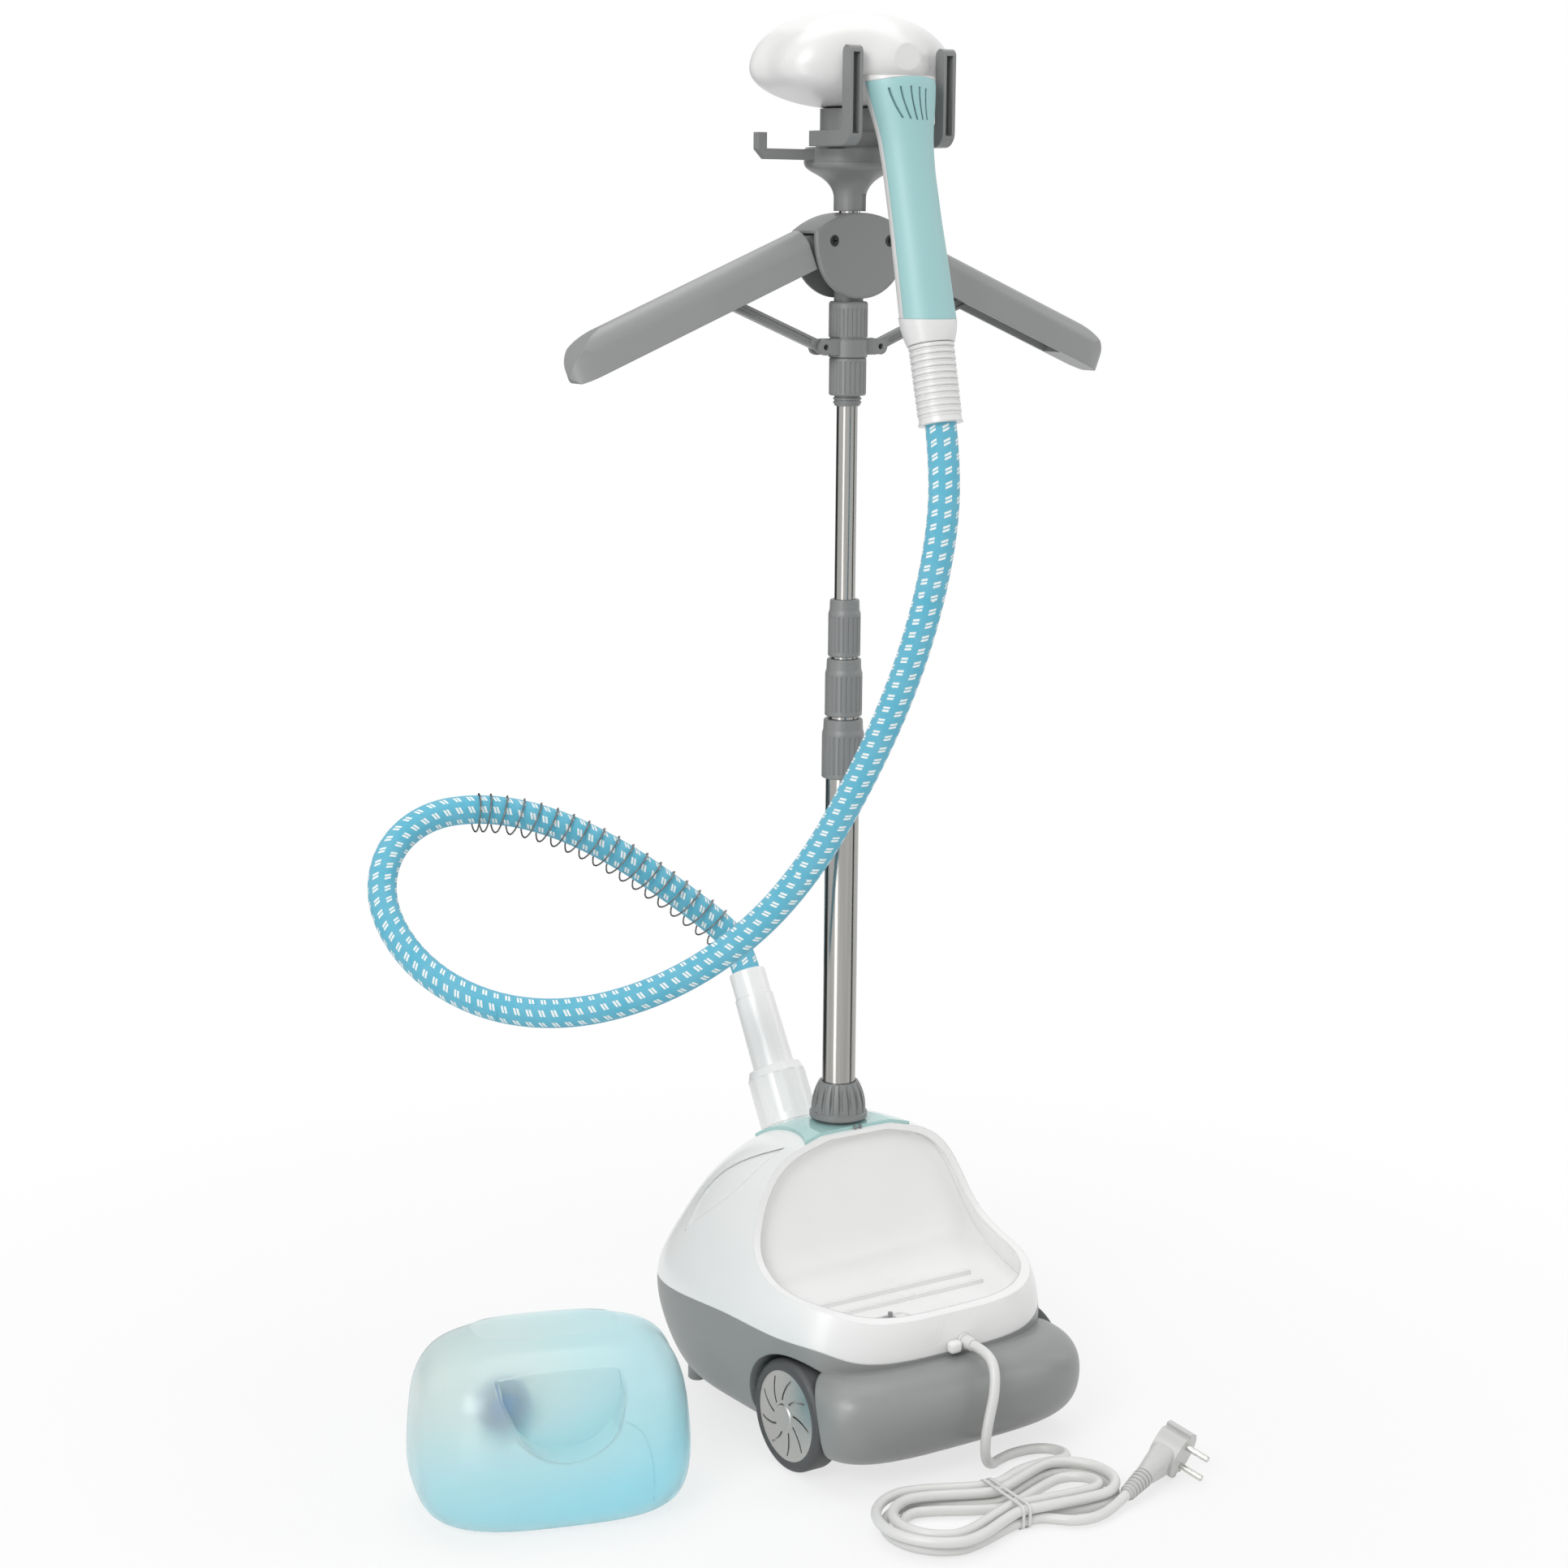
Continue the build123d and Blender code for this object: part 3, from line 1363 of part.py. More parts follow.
LOW_Z = CORD_R + 1.3
HIGH_Z = LOW_Z + 8.6
STRANDS = (21.0, 15.6, 10.2, 4.8, 10.2, 15.6, 21.0, 27.4)
LEFT_LOBE = {0: 40.0, 2: 27.8, 4: 33.9, 6: 46.0}
RIGHT_LOBE = {1: 32.6, 3: 20.6, 5: 32.6}
RIGHT_LIFT = 7.0
hank_nodes = [(hank_point(8, -STRANDS[0], LOW_Z), hank_way(-1, 0))]
hank_nodes.append((hank_point(0, -STRANDS[0], LOW_Z), hank_way(-1, 0)))
for j in range(7):
    if j % 2 == 0:
        lobe, sign, middle, lift = LEFT_LOBE[j], -1, -56.0, 0.0
    else:
        lobe, sign, middle, lift = RIGHT_LOBE[j], 1, 61.0, RIGHT_LIFT
    enter_z = LOW_Z if j <= 3 else HIGH_Z
    leave_z = LOW_Z if j < 3 else HIGH_Z
    rounds = (
        (Vector(middle, sign * lobe), Vector(sign, 0), enter_z),
        (Vector(middle + sign * lobe, 0), Vector(0, -sign), (enter_z + leave_z) / 2),
        (Vector(middle, -sign * lobe), Vector(-sign, 0), leave_z),
    )
    for spot, way, z in rounds:
        spot = spot.rotate(Axis.Z, lift)
        way = way.rotate(Axis.Z, lift)
        hank_nodes.append((hank_point(spot.X, spot.Y, z), hank_way(way.X, way.Y)))
    hank_nodes.append((hank_point(0, -sign * STRANDS[j + 1], leave_z), hank_way(-sign, 0)))
with BuildPart() as cord_hank:
    with BuildLine() as hank_line:
        for (start, start_way), (stop, stop_way) in zip(hank_nodes, hank_nodes[1:]):
            if abs((stop - start).normalized().dot(start_way) - 1) < 1e-9:
                Line(start, stop)
                continue
            join = biarc(start, start_way, stop, stop_way)
            first_arc = TangentArc(start, join, tangent=start_way)
            TangentArc(join, stop, tangent=first_arc % 1)
    with BuildSketch(Plane(origin=hank_line.wire() @ 0, z_dir=hank_line.wire() % 0)):
        Circle(CORD_R)
    sweep()
hank_wire = hank_line.wire()
hank_length = hank_wire.length
hank_fine = [hank_wire.position_at(i / 700) for i in range(701)]
print("hank loops", 3.5, "length", round(hank_length))
print("hank least gap", round(least_gap(hank_fine, 30, 2 * CORD_R), 2))
cord_hank.part.label = "cord_hank"
export_step(cord_hank.part, "parts/cord_hank.step")

with BuildPart() as cord_tie:
    for place in (-3.0, 2.5):
        with BuildSketch(Plane(origin=hank_point(place, 0, 0), z_dir=hank_way(1, 0), x_dir=hank_way(0, 1))):
            with Locations((3.2, 9.5)):
                RectangleRounded(58.8, 18.8, 5.0)
                RectangleRounded(56.8, 16.8, 4.0, mode=Mode.SUBTRACT)
        extrude(amount=2.4)
    with Locations(Plane(origin=hank_point(1.0, 10, 18.4), z_dir=(0, 0, 1), x_dir=hank_way(1, 0))):
        Box(8, 3, 1.0)
cord_tie.part.label = "cord_tie"
export_step(cord_tie.part, "parts/cord_tie.step")

LEAD_ROUTE = [
    at(9, -166, 93),
    at(9, -181, 93),
    at(6, -196, 87),
    at(1, -203, 70),
    at(-6, -204, 50),
    at(-11, -205, 31),
    hank_point(9, 58, 15),
    hank_point(24, 68, 7),
    hank_point(45, 77, LOW_Z),
    hank_point(67, 79, LOW_Z),
    hank_point(83, 70, 6.5),
    hank_point(79, 56, 9.5),
    hank_point(57, 50, 12.5),
    hank_point(36, 42, HIGH_Z),
    hank_point(23, 32.8, HIGH_Z),
    hank_point(12, 27.4, HIGH_Z),
    hank_nodes[-1][0],
]
LEAD_RADII = round_route(LEAD_ROUTE)
print("lead radii", [round(r) for r in LEAD_RADII])

with BuildPart() as cord_lead:
    with BuildLine():
        lead_path = FilletPolyline(*LEAD_ROUTE, radius=LEAD_RADII)
    with BuildSketch(Plane(origin=lead_path @ 0, z_dir=lead_path % 0)):
        Circle(CORD_R)
    sweep()
section = math.pi * CORD_R**2
print("lead", round(lead_path.length), round(cord_lead.part.volume / section / lead_path.length, 4))
cord_lead.part.label = "cord_lead"
export_step(cord_lead.part, "parts/cord_lead.step")

PLUG_FACE = at(122, -278, 18.4)
PLUG_OUT = Vector(0.380, -0.863, -0.330).normalized()
PLUG_CORD = Vector(-0.924, -0.335, -0.185).normalized()
PLUG = Plane(origin=PLUG_FACE, x_dir=PLUG_CORD, z_dir=PLUG_OUT)
CORD_END = Plane(origin=PLUG.from_local_coords(Vector(0, 0, -11)), x_dir=PLUG.y_dir, z_dir=PLUG.x_dir)

with BuildPart() as plug:
    with BuildSketch(PLUG):
        Circle(18.4)
        with Locations((0, 17.5), (0, -17.5)):
            Rectangle(6, 4, mode=Mode.SUBTRACT)
    extrude(amount=-21)
    with BuildSketch(CORD_END.offset(4)):
        RectangleRounded(27, 20, 5)
    with BuildSketch(CORD_END.offset(26)):
        RectangleRounded(21, 17, 6)
    with BuildSketch(CORD_END.offset(42)):
        Circle(7.2)
    loft()
plug.part.label = "plug"
export_step(plug.part, "parts/plug.step")

for name, y in (("plug_pin_a", -9.5), ("plug_pin_b", 9.5)):
    with BuildPart() as plug_pin:
        with BuildSketch(PLUG):
            with Locations((0, y)):
                Circle(2.4)
        extrude(amount=19)
        tip_edge = plug_pin.edges().sort_by(lambda e: PLUG.to_local_coords(e.center()).Z)[-1]
        fillet(tip_edge, radius=1.2)
    plug_pin.part.label = name
    export_step(plug_pin.part, f"parts/{name}.step")

with BuildPart() as strain_relief:
    with BuildSketch(CORD_END.offset(42)):
        Circle(6.2)
    with BuildSketch(CORD_END.offset(68)):
        Circle(5.0)
    loft()
    for rib in range(6):
        with BuildSketch(CORD_END.offset(43.5 + 4 * rib)):
            Circle(7.4 - 0.28 * rib)
        extrude(amount=2.2)
strain_relief.part.label = "strain_relief"
export_step(strain_relief.part, "parts/strain_relief.step")

TAIL_ROUTE = [
    CORD_END.from_local_coords(Vector(0, 0, 68)),
    CORD_END.from_local_coords(Vector(0, 0, 86)),
    hank_point(50, -42, 6.2),
    hank_point(34, -37, LOW_Z),
    hank_point(23, -27, LOW_Z),
    hank_point(15, -21.0, LOW_Z),
    hank_nodes[0][0],
]
TAIL_RADII = round_route(TAIL_ROUTE)
print("tail radii", [round(r) for r in TAIL_RADII])

with BuildPart() as cord_tail:
    with BuildLine():
        tail_path = FilletPolyline(*TAIL_ROUTE, radius=TAIL_RADII)
    with BuildSketch(Plane(origin=tail_path @ 0, z_dir=tail_path % 0)):
        Circle(CORD_R)
    sweep()
print("tail", round(tail_path.length), round(cord_tail.part.volume / section / tail_path.length, 4))
cord_tail.part.label = "cord_tail"
export_step(cord_tail.part, "parts/cord_tail.step")
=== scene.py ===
"""Upright garment steamer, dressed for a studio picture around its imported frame."""
import logging
import math
from dataclasses import dataclass, field
from enum import Enum

import bmesh
import bpy
from mathutils import Matrix, Vector


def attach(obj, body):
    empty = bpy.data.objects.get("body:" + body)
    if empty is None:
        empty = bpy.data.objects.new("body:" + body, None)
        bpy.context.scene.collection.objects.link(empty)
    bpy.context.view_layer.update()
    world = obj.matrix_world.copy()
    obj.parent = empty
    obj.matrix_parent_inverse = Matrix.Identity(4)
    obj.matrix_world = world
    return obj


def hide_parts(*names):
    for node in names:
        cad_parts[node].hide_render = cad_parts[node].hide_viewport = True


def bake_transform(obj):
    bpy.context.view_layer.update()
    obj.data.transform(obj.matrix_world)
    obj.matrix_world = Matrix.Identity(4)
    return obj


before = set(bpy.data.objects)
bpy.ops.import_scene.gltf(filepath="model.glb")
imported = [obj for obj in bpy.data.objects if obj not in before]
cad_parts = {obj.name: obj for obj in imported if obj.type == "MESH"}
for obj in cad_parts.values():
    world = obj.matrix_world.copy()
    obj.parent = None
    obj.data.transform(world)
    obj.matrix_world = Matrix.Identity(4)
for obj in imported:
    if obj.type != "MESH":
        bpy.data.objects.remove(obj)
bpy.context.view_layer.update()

log = logging.getLogger("steamer")
MM = 0.001
DECIMETRE = 0.1
CURVE_STEPS = 16
POLE = Vector((0.0755, 0.0238, 0.0))
Point = tuple[float, float, float]


def at(x: float, y: float, z: float) -> Vector:
    """Point in metres from millimetres counted from the pole's foot."""
    return POLE + Vector((x, y, z)) * MM


def linear(code: str) -> tuple[float, float, float, float]:
    """Linear colour of an sRGB hex value.

    Args:
        code: six hex digits, with a leading hash.

    Returns:
        Red, green, blue and alpha in linear light.
    """
    parts = [int(code[i:i + 2], 16) / 255 for i in (1, 3, 5)]
    flat = [p / 12.92 if p <= 0.04045 else ((p + 0.055) / 1.055) ** 2.4 for p in parts]
    return (*flat, 1.0)


def toned(code: str, gain: float) -> tuple[float, float, float, float]:
    """Colour of a hex value, made lighter or darker.

    Args:
        code: six hex digits, with a leading hash.
        gain: how many times as light.

    Returns:
        Red, green, blue and alpha in linear light, none above one.
    """
    red, green, blue, alpha = linear(code)
    return (min(1.0, red * gain), min(1.0, green * gain), min(1.0, blue * gain), alpha)


def node(
    tree: bpy.types.NodeTree, kind: str, inputs: dict | None = None, **settings: object,
) -> bpy.types.Node:
    """Add a shader node with its settings and links.

    Args:
        tree: node tree that takes the node.
        kind: type name of the node.
        inputs: socket name or number to a value, to the socket that feeds it,
            or to a node whose first output feeds it.
        settings: plain attributes of the node.

    Returns:
        The node made.
    """
    made = tree.nodes.new(kind)
    for key, value in settings.items():
        setattr(made, key, value)
    for key, value in (inputs or {}).items():
        if isinstance(value, bpy.types.Node):
            value = value.outputs[0]
        if isinstance(value, bpy.types.NodeSocket):
            tree.links.new(value, made.inputs[key])
        else:
            made.inputs[key].default_value = value
    return made


class Gloss(Enum):
    """How a moulded surface left its tool, as a share of the deepest grain."""

    POLISHED = 0.0
    SATIN = 0.5
    GRAINED = 1.0


class Finish:
    """A named surface that can make its own material."""

    name: str

    def shade(self, tree: bpy.types.NodeTree) -> bpy.types.Node:
        """Add the nodes and give back the shader."""
        raise NotImplementedError

    def material(self) -> bpy.types.Material:
        """Make the finish's material once, and share it after that.

        Returns:
            The material.
        """
        ready = bpy.data.materials.get(self.name)
        if ready is not None:
            return ready
        made = bpy.data.materials.new(self.name)
        made.use_nodes = True
        made.node_tree.nodes.clear()
        node(made.node_tree, "ShaderNodeOutputMaterial", {"Surface": self.shade(made.node_tree)})
        return made


@dataclass(frozen=True)
class Moulded(Finish):
    """Injection-moulded plastic: even colour, soft edges, spark-eroded grain where it is satin."""

    name: str
    colour: str
    roughness: float
    gloss: Gloss = Gloss.SATIN
    coat: float = 0.0
    edge_mm: float = 0.9
    grain_mm: float = 1.1
    cloud_mm: float = 70.0
    tone: tuple[float, float] = (0.96, 1.03)
    rough_spread: tuple[float, float] = (-0.04, 0.05)
    grain_strength: tuple[float, float] = (0.05, 0.22)
    grain_depth_mm: tuple[float, float] = (0.02, 0.05)

    def shade(self, tree: bpy.types.NodeTree) -> bpy.types.Node:
        """Add the finish's nodes to a material.

        Args:
            tree: node tree of the material.

        Returns:
            The shader's node.
        """
        place = node(tree, "ShaderNodeTexCoord").outputs["Object"]
        # Slow drift of tone, as pigment and gloss vary a little over a large moulding.
        cloud = node(tree, "ShaderNodeTexNoise", {
            "Vector": place, "Scale": 1.0 / (self.cloud_mm * MM), "Detail": 2.0,
        })
        tint = node(tree, "ShaderNodeMix", {
            0: cloud.outputs["Fac"],
            6: toned(self.colour, self.tone[0]),
            7: toned(self.colour, self.tone[1]),
        }, data_type="RGBA")
        # The real grain is a few tenths of a millimetre, drawn coarser here so that it shows.
        grain = node(tree, "ShaderNodeTexNoise", {
            "Vector": place, "Scale": 1.0 / (self.grain_mm * MM), "Detail": 3.0,
        })
        edge = node(tree, "ShaderNodeBevel", {"Radius": self.edge_mm * MM}, samples=4)
        strength = self.grain_strength[0] + self.grain_strength[1] * self.gloss.value
        depth = self.grain_depth_mm[0] + self.grain_depth_mm[1] * self.gloss.value
        bump = node(tree, "ShaderNodeBump", {
            "Height": grain.outputs["Fac"], "Strength": strength, "Distance": depth * MM, "Normal": edge,
        })
        rough = node(tree, "ShaderNodeMapRange", {
            "Value": cloud.outputs["Fac"],
            "To Min": self.roughness + self.rough_spread[0],
            "To Max": self.roughness + self.rough_spread[1],
        })
        return node(tree, "ShaderNodeBsdfPrincipled", {
            "Base Color": tint.outputs[2], "Roughness": rough, "Normal": bump,
            "IOR": 1.53, "Coat Weight": self.coat, "Coat Roughness": 0.08,
        })


@dataclass(frozen=True)
class Metal(Finish):
    """Metal with the lines that drawing, spinning or casting left on it."""

    name: str
    colour: str
    roughness: float
    line_mm: Point
    depth: float = 0.15
    contrast: float = 0.10
    rough_span: tuple[float, float] = (0.75, 1.3)
    edge_mm: float = 0.3
    groove_mm: float = 0.02

    def shade(self, tree: bpy.types.NodeTree) -> bpy.types.Node:
        """Add the finish's nodes to a material.

        Args:
            tree: node tree of the material.

        Returns:
            The shader's node.
        """
        place = node(tree, "ShaderNodeMapping", {
            "Vector": node(tree, "ShaderNodeTexCoord").outputs["Object"],
            "Scale": tuple(1.0 / (size * MM) for size in self.line_mm),
        })
        streak = node(tree, "ShaderNodeTexNoise", {
            "Vector": place, "Scale": 1.0, "Detail": 4.0, "Roughness": 0.65,
        }).outputs["Fac"]
        swing = 2 * self.contrast
        tint = node(tree, "ShaderNodeMix", {
            0: streak, 6: toned(self.colour, 1.0 - swing), 7: toned(self.colour, 1.0 + swing),
        }, data_type="RGBA")
        rough = node(tree, "ShaderNodeMapRange", {
            "Value": streak,
            "To Min": self.roughness * self.rough_span[0],
            "To Max": self.roughness * self.rough_span[1],
        })
        edge = node(tree, "ShaderNodeBevel", {"Radius": self.edge_mm * MM}, samples=4)
        bump = node(tree, "ShaderNodeBump", {
            "Height": streak, "Strength": self.depth, "Distance": self.groove_mm * MM, "Normal": edge,
        })
        return node(tree, "ShaderNodeBsdfPrincipled", {
            "Base Color": tint.outputs[2], "Metallic": 1.0, "Roughness": rough, "Normal": bump,
        })


@dataclass(frozen=True)
class FrostedTank(Finish):
    """Blow-moulded polypropylene: milky, see-through up close, bluer low down and towards the base."""

    name: str = "frosted polypropylene"
    pale: str = "#EEF3F0"
    deep: str = "#D0F6FD"
    low_mm: tuple[float, float] = (95.0, 5.0)
    side_mm: tuple[float, float] = (-300.0, -110.0)
    low_share: float = 0.75
    side_share: float = 0.5
    cloud_share: float = 0.2
    ripple_mm: float = 3.0

    def shade(self, tree: bpy.types.NodeTree) -> bpy.types.Node:
        """Add the finish's nodes to a material.

        Args:
            tree: node tree of the material.

        Returns:
            The shader's node.
        """
        place = node(tree, "ShaderNodeTexCoord").outputs["Object"]
        split = node(tree, "ShaderNodeSeparateXYZ", {"Vector": place})
        low = node(tree, "ShaderNodeMapRange", {
            "Value": split.outputs["Z"], "From Min": self.low_mm[0] * MM, "From Max": self.low_mm[1] * MM,
            "To Min": 0.0, "To Max": self.low_share,
        }, interpolation_type="SMOOTHSTEP")
        side = node(tree, "ShaderNodeMapRange", {
            "Value": split.outputs["X"], "From Min": self.side_mm[0] * MM, "From Max": self.side_mm[1] * MM,
            "To Min": 0.0, "To Max": self.side_share,
        }, interpolation_type="SMOOTHSTEP")
        both = node(tree, "ShaderNodeMath", {0: low, 1: side}, operation="ADD", use_clamp=True)
        cloud = node(tree, "ShaderNodeTexNoise", {"Vector": place, "Scale": 22.0, "Detail": 3.0})
        blend = node(tree, "ShaderNodeMath", {
            0: cloud.outputs["Fac"], 1: self.cloud_share, 2: both,
        }, operation="MULTIPLY_ADD", use_clamp=True)
        tint = node(tree, "ShaderNodeMix", {
            0: blend, 6: linear(self.pale), 7: linear(self.deep),
        }, data_type="RGBA")
        # The wall's chill ripple, about as wide as the wall is thick.
        ripple = node(tree, "ShaderNodeTexNoise", {
            "Vector": place, "Scale": 1.0 / (self.ripple_mm * MM), "Detail": 2.0,
        })
        haze = node(tree, "ShaderNodeMapRange", {
            "Value": cloud.outputs["Fac"], "To Min": 0.28, "To Max": 0.40,
        })
        bump = node(tree, "ShaderNodeBump", {
            "Height": ripple.outputs["Fac"], "Strength": 0.04, "Distance": 0.1 * MM,
        })
        return node(tree, "ShaderNodeBsdfPrincipled", {
            "Base Color": tint.outputs[2], "Roughness": haze, "Normal": bump, "IOR": 1.12,
            "Transmission Weight": 0.8, "Coat Weight": 0.4, "Coat Roughness": 0.15, "Coat IOR": 1.45,
        })


@dataclass(frozen=True)
class WovenSleeve(Finish):
    """Polyester braid over a rubber hose, with rows of pale stitches in slanting pairs."""

    name: str = "woven polyester braid"
    colour: str = "#50BFDB"
    # Darker blue for the dips of the weave: painted shade between the threads.
    dark: str = "#3AA4C2"
    stitch: str = "#F4F8F6"
    rows: int = 7
    pitch_mm: float = 10.0
    thread_mm: float = 1.5
    round_mm: float = 71.6
    lean: float = -0.42
    pair_gap: float = 0.128
    stitch_half: float = 0.085
    stitch_reach: float = 0.25
    worn_share: float = 0.14
    stitch_lift: float = 0.6

    def shade(self, tree: bpy.types.NodeTree) -> bpy.types.Node:
        """Add the nodes on the hose's own map: round it, then along it in decimetres.

        Args:
            tree: node tree of the material.

        Returns:
            The shader's node.
        """
        wrap = node(tree, "ShaderNodeTexCoord").outputs["UV"]
        split = node(tree, "ShaderNodeSeparateXYZ", {"Vector": wrap})
        around, along = split.outputs["X"], split.outputs["Y"]
        kind = "ShaderNodeMath"
        # Where a point lies in its stitch's cell, from -0.5 to 0.5 each way.
        row = node(tree, kind, {0: around, 1: float(self.rows)}, operation="MULTIPLY")
        row = node(tree, kind, {0: row}, operation="FRACT")
        row = node(tree, kind, {0: row, 1: 0.5}, operation="SUBTRACT")
        cell = node(tree, kind, {0: along, 1: DECIMETRE / (self.pitch_mm * MM)}, operation="MULTIPLY")
        cell = node(tree, kind, {0: cell}, operation="FRACT")
        cell = node(tree, kind, {0: cell, 1: 0.5}, operation="SUBTRACT")
        slant = node(tree, kind, {0: row, 1: self.lean, 2: cell}, operation="MULTIPLY_ADD")
        reach = node(tree, kind, {0: slant}, operation="ABSOLUTE")
        pair = node(tree, kind, {0: reach, 1: self.pair_gap, 2: self.stitch_half}, operation="COMPARE")
        width = node(tree, kind, {0: row, 1: 0.0, 2: self.stitch_reach}, operation="COMPARE")
        mark = node(tree, kind, {0: pair, 1: width}, operation="MULTIPLY")
        # Two sets of threads cross; the real ones are finer, drawn coarse enough to show.
        turns = 2 * math.pi * round(self.round_mm / self.thread_mm)
        across = node(tree, kind, {0: around, 1: turns}, operation="MULTIPLY")
        threads = 2 * math.pi * DECIMETRE / (self.thread_mm * MM)
        onward = node(tree, kind, {0: along, 1: threads}, operation="MULTIPLY")
        right = node(tree, kind, {0: across, 1: onward}, operation="ADD")
        right = node(tree, kind, {0: right}, operation="SINE")
        left = node(tree, kind, {0: across, 1: onward}, operation="SUBTRACT")
        left = node(tree, kind, {0: left}, operation="SINE")
        weave = node(tree, kind, {0: right, 1: left}, operation="MULTIPLY")
        level = node(tree, "ShaderNodeMapRange", {"Value": weave, "From Min": -1.0, "From Max": 1.0})
        # The weave's low places take the darker blue: painted shade between the threads.
        cloth = node(tree, "ShaderNodeMix", {
            0: level, 6: linear(self.dark), 7: linear(self.colour),
        }, data_type="RGBA")
        place = node(tree, "ShaderNodeTexCoord").outputs["Object"]
        worn = node(tree, "ShaderNodeTexNoise", {"Vector": place, "Scale": 60.0, "Detail": 3.0})
        fade = node(tree, kind, {0: worn.outputs["Fac"], 1: self.worn_share}, operation="MULTIPLY")
        faded = node(tree, "ShaderNodeMix", {
            0: fade, 6: cloth.outputs[2], 7: linear(self.stitch),
        }, data_type="RGBA")
        tint = node(tree, "ShaderNodeMix", {
            0: mark, 6: faded.outputs[2], 7: linear(self.stitch),
        }, data_type="RGBA")
        height = node(tree, kind, {0: mark, 1: self.stitch_lift, 2: level}, operation="MULTIPLY_ADD")
        bump = node(tree, "ShaderNodeBump", {"Height": height, "Strength": 0.5, "Distance": 0.35 * MM})
        rough = node(tree, "ShaderNodeMapRange", {"Value": level, "To Min": 0.84, "To Max": 0.72})
        return node(tree, "ShaderNodeBsdfPrincipled", {
            "Base Color": tint.outputs[2], "Roughness": rough, "Normal": bump,
            "Sheen Weight": 0.2, "Sheen Roughness": 0.5,
        })


# Polished ABS: clean broad highlights over a near-white body colour.
WHITE = Moulded("gloss white ABS", "#F0F0EF", 0.28, Gloss.POLISHED, coat=0.18, edge_mm=1.6)
# Painted shade: the housing's white, taken a shade down on the steam head so that its lit round back keeps
# its shape under the lamps.
SHADED_HEAD_WHITE = Moulded("soft gloss white ABS, painted shade", "#E3E3E2", 0.32, Gloss.POLISHED, coat=0.12, edge_mm=1.6)
# Satin ABS: soft highlights that spread along the arms and knobs.
GREY = Moulded("satin grey ABS", "#818282", 0.42, Gloss.SATIN, coat=0.05)
# The hanger's arms: the same plastic from a paler batch.
ARM_GREY = Moulded("pale satin grey ABS", "#939494", 0.40, Gloss.SATIN, coat=0.05)
# The base's large satin panels: the same plastic with rounder edges.
BASE_GREY = Moulded("satin grey base ABS", "#8E908F", 0.40, Gloss.SATIN, coat=0.1, edge_mm=1.5)
# Polished tinted ABS: sharp white reflections on a cool pale green-blue.
PLATE_TEAL = Moulded("gloss pale teal ABS", "#A6CECB", 0.16, Gloss.POLISHED, coat=0.6, edge_mm=0.8)
# Over-moulded soft grip: dry, finely grained, hardly any highlight.
GRIP_TEAL = Moulded("soft pale teal elastomer", "#9CC8C9", 0.46, Gloss.GRAINED)
# Deep blue that shows as a blurred disc through the milky tank.
CAP_BLUE = Moulded("blue polypropylene", "#1B97E0", 0.40, Gloss.SATIN)
# Hard tread rubber: dark, dusty and matt.
TYRE = Moulded("dark grey thermoplastic rubber", "#4A4B4C", 0.55, Gloss.GRAINED, edge_mm=0.6)
# Painted shadow: dark strips in the grip's slits stand in for their unlit depth. The same dark finish makes
# the cards that bright metal mirrors.
SHADOW = Moulded("black card and painted slit shadow", "#2B3435", 0.70, Gloss.GRAINED)
# Cable sheath: slightly waxy white with soft highlights.
CORD_WHITE = Moulded("white flexible PVC", "#DEDEDC", 0.40, Gloss.SATIN, coat=0.1)
# The plug's harder PVC: a duller white than its cord.
PLUG_WHITE = Moulded("off-white rigid PVC", "#C9C9C7", 0.42, Gloss.SATIN, coat=0.05)
# Drawn tube: bright and dark streaks run along it. The real lines are about half a
# millimetre apart, drawn at two and a half here so that they show.
TUBE = Metal("drawn stainless steel", "#A3A29F", 0.16, (2.4, 2.4, 300.0), contrast=0.16)
# Oiled black screws, sunk in the hub.
BLACKED = Metal("blackened steel", "#4A4A4A", 0.38, (2.0, 2.0, 2.0))
# Bright nickel on the plug's pins.
PLATED = Metal("nickel-plated brass", "#CFCFCB", 0.22, (3.3, 3.3, 3.3))
# Thin plating over plastic: silver with a soft satin bloom.
CHROME = Metal("satin chrome plate", "#B5B5B2", 0.34, (3.8, 3.8, 3.8), depth=0.05, contrast=0.05)
# Music wire: thin dark lines with a bright top.
SPRING = Metal("bright spring steel", "#727372", 0.26, (2.0, 2.0, 2.0))
# Sand-cast skin: dull and lightly pitted.
CAST = Metal("cast aluminium", "#A8A9AB", 0.5, (2.5, 2.5, 2.5), depth=0.5)
# Sky-blue cloth with rows of white stitches, matt and slightly fuzzy.
BRAID = WovenSleeve()
# Milky wall that lets the cap and the floor through as blurs.
FROSTED = FrostedTank()


def dress(finish: Finish, *names: str) -> None:
    """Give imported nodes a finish.

    Args:
        finish: finish with a material method.
        names: nodes to dress.
    """
    material = finish.material()
    for name in names:
        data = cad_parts[name].data
        data.materials.clear()
        data.materials.append(material)
        log.info("dressed %s with %s", name, material.name)


def piece_of(name: str, bm: bmesh.types.BMesh, finish: Finish, smooth: bool = True) -> bpy.types.Object:
    """Turn a bmesh into a dressed object.

    Args:
        name: piece name.
        bm: shape, in the row frame; it is freed.
        finish: finish of the piece.
        smooth: whether its faces are shaded smooth.

    Returns:
        The piece, in the scene.
    """
    mesh = bpy.data.meshes.new(name)
    bmesh.ops.recalc_face_normals(bm, faces=bm.faces)
    for face in bm.faces:
        face.smooth = smooth
    bm.to_mesh(mesh)
    bm.free()
    mesh.materials.append(finish.material())
    piece = bpy.data.objects.new(name, mesh)
    bpy.context.scene.collection.objects.link(piece)
    return piece


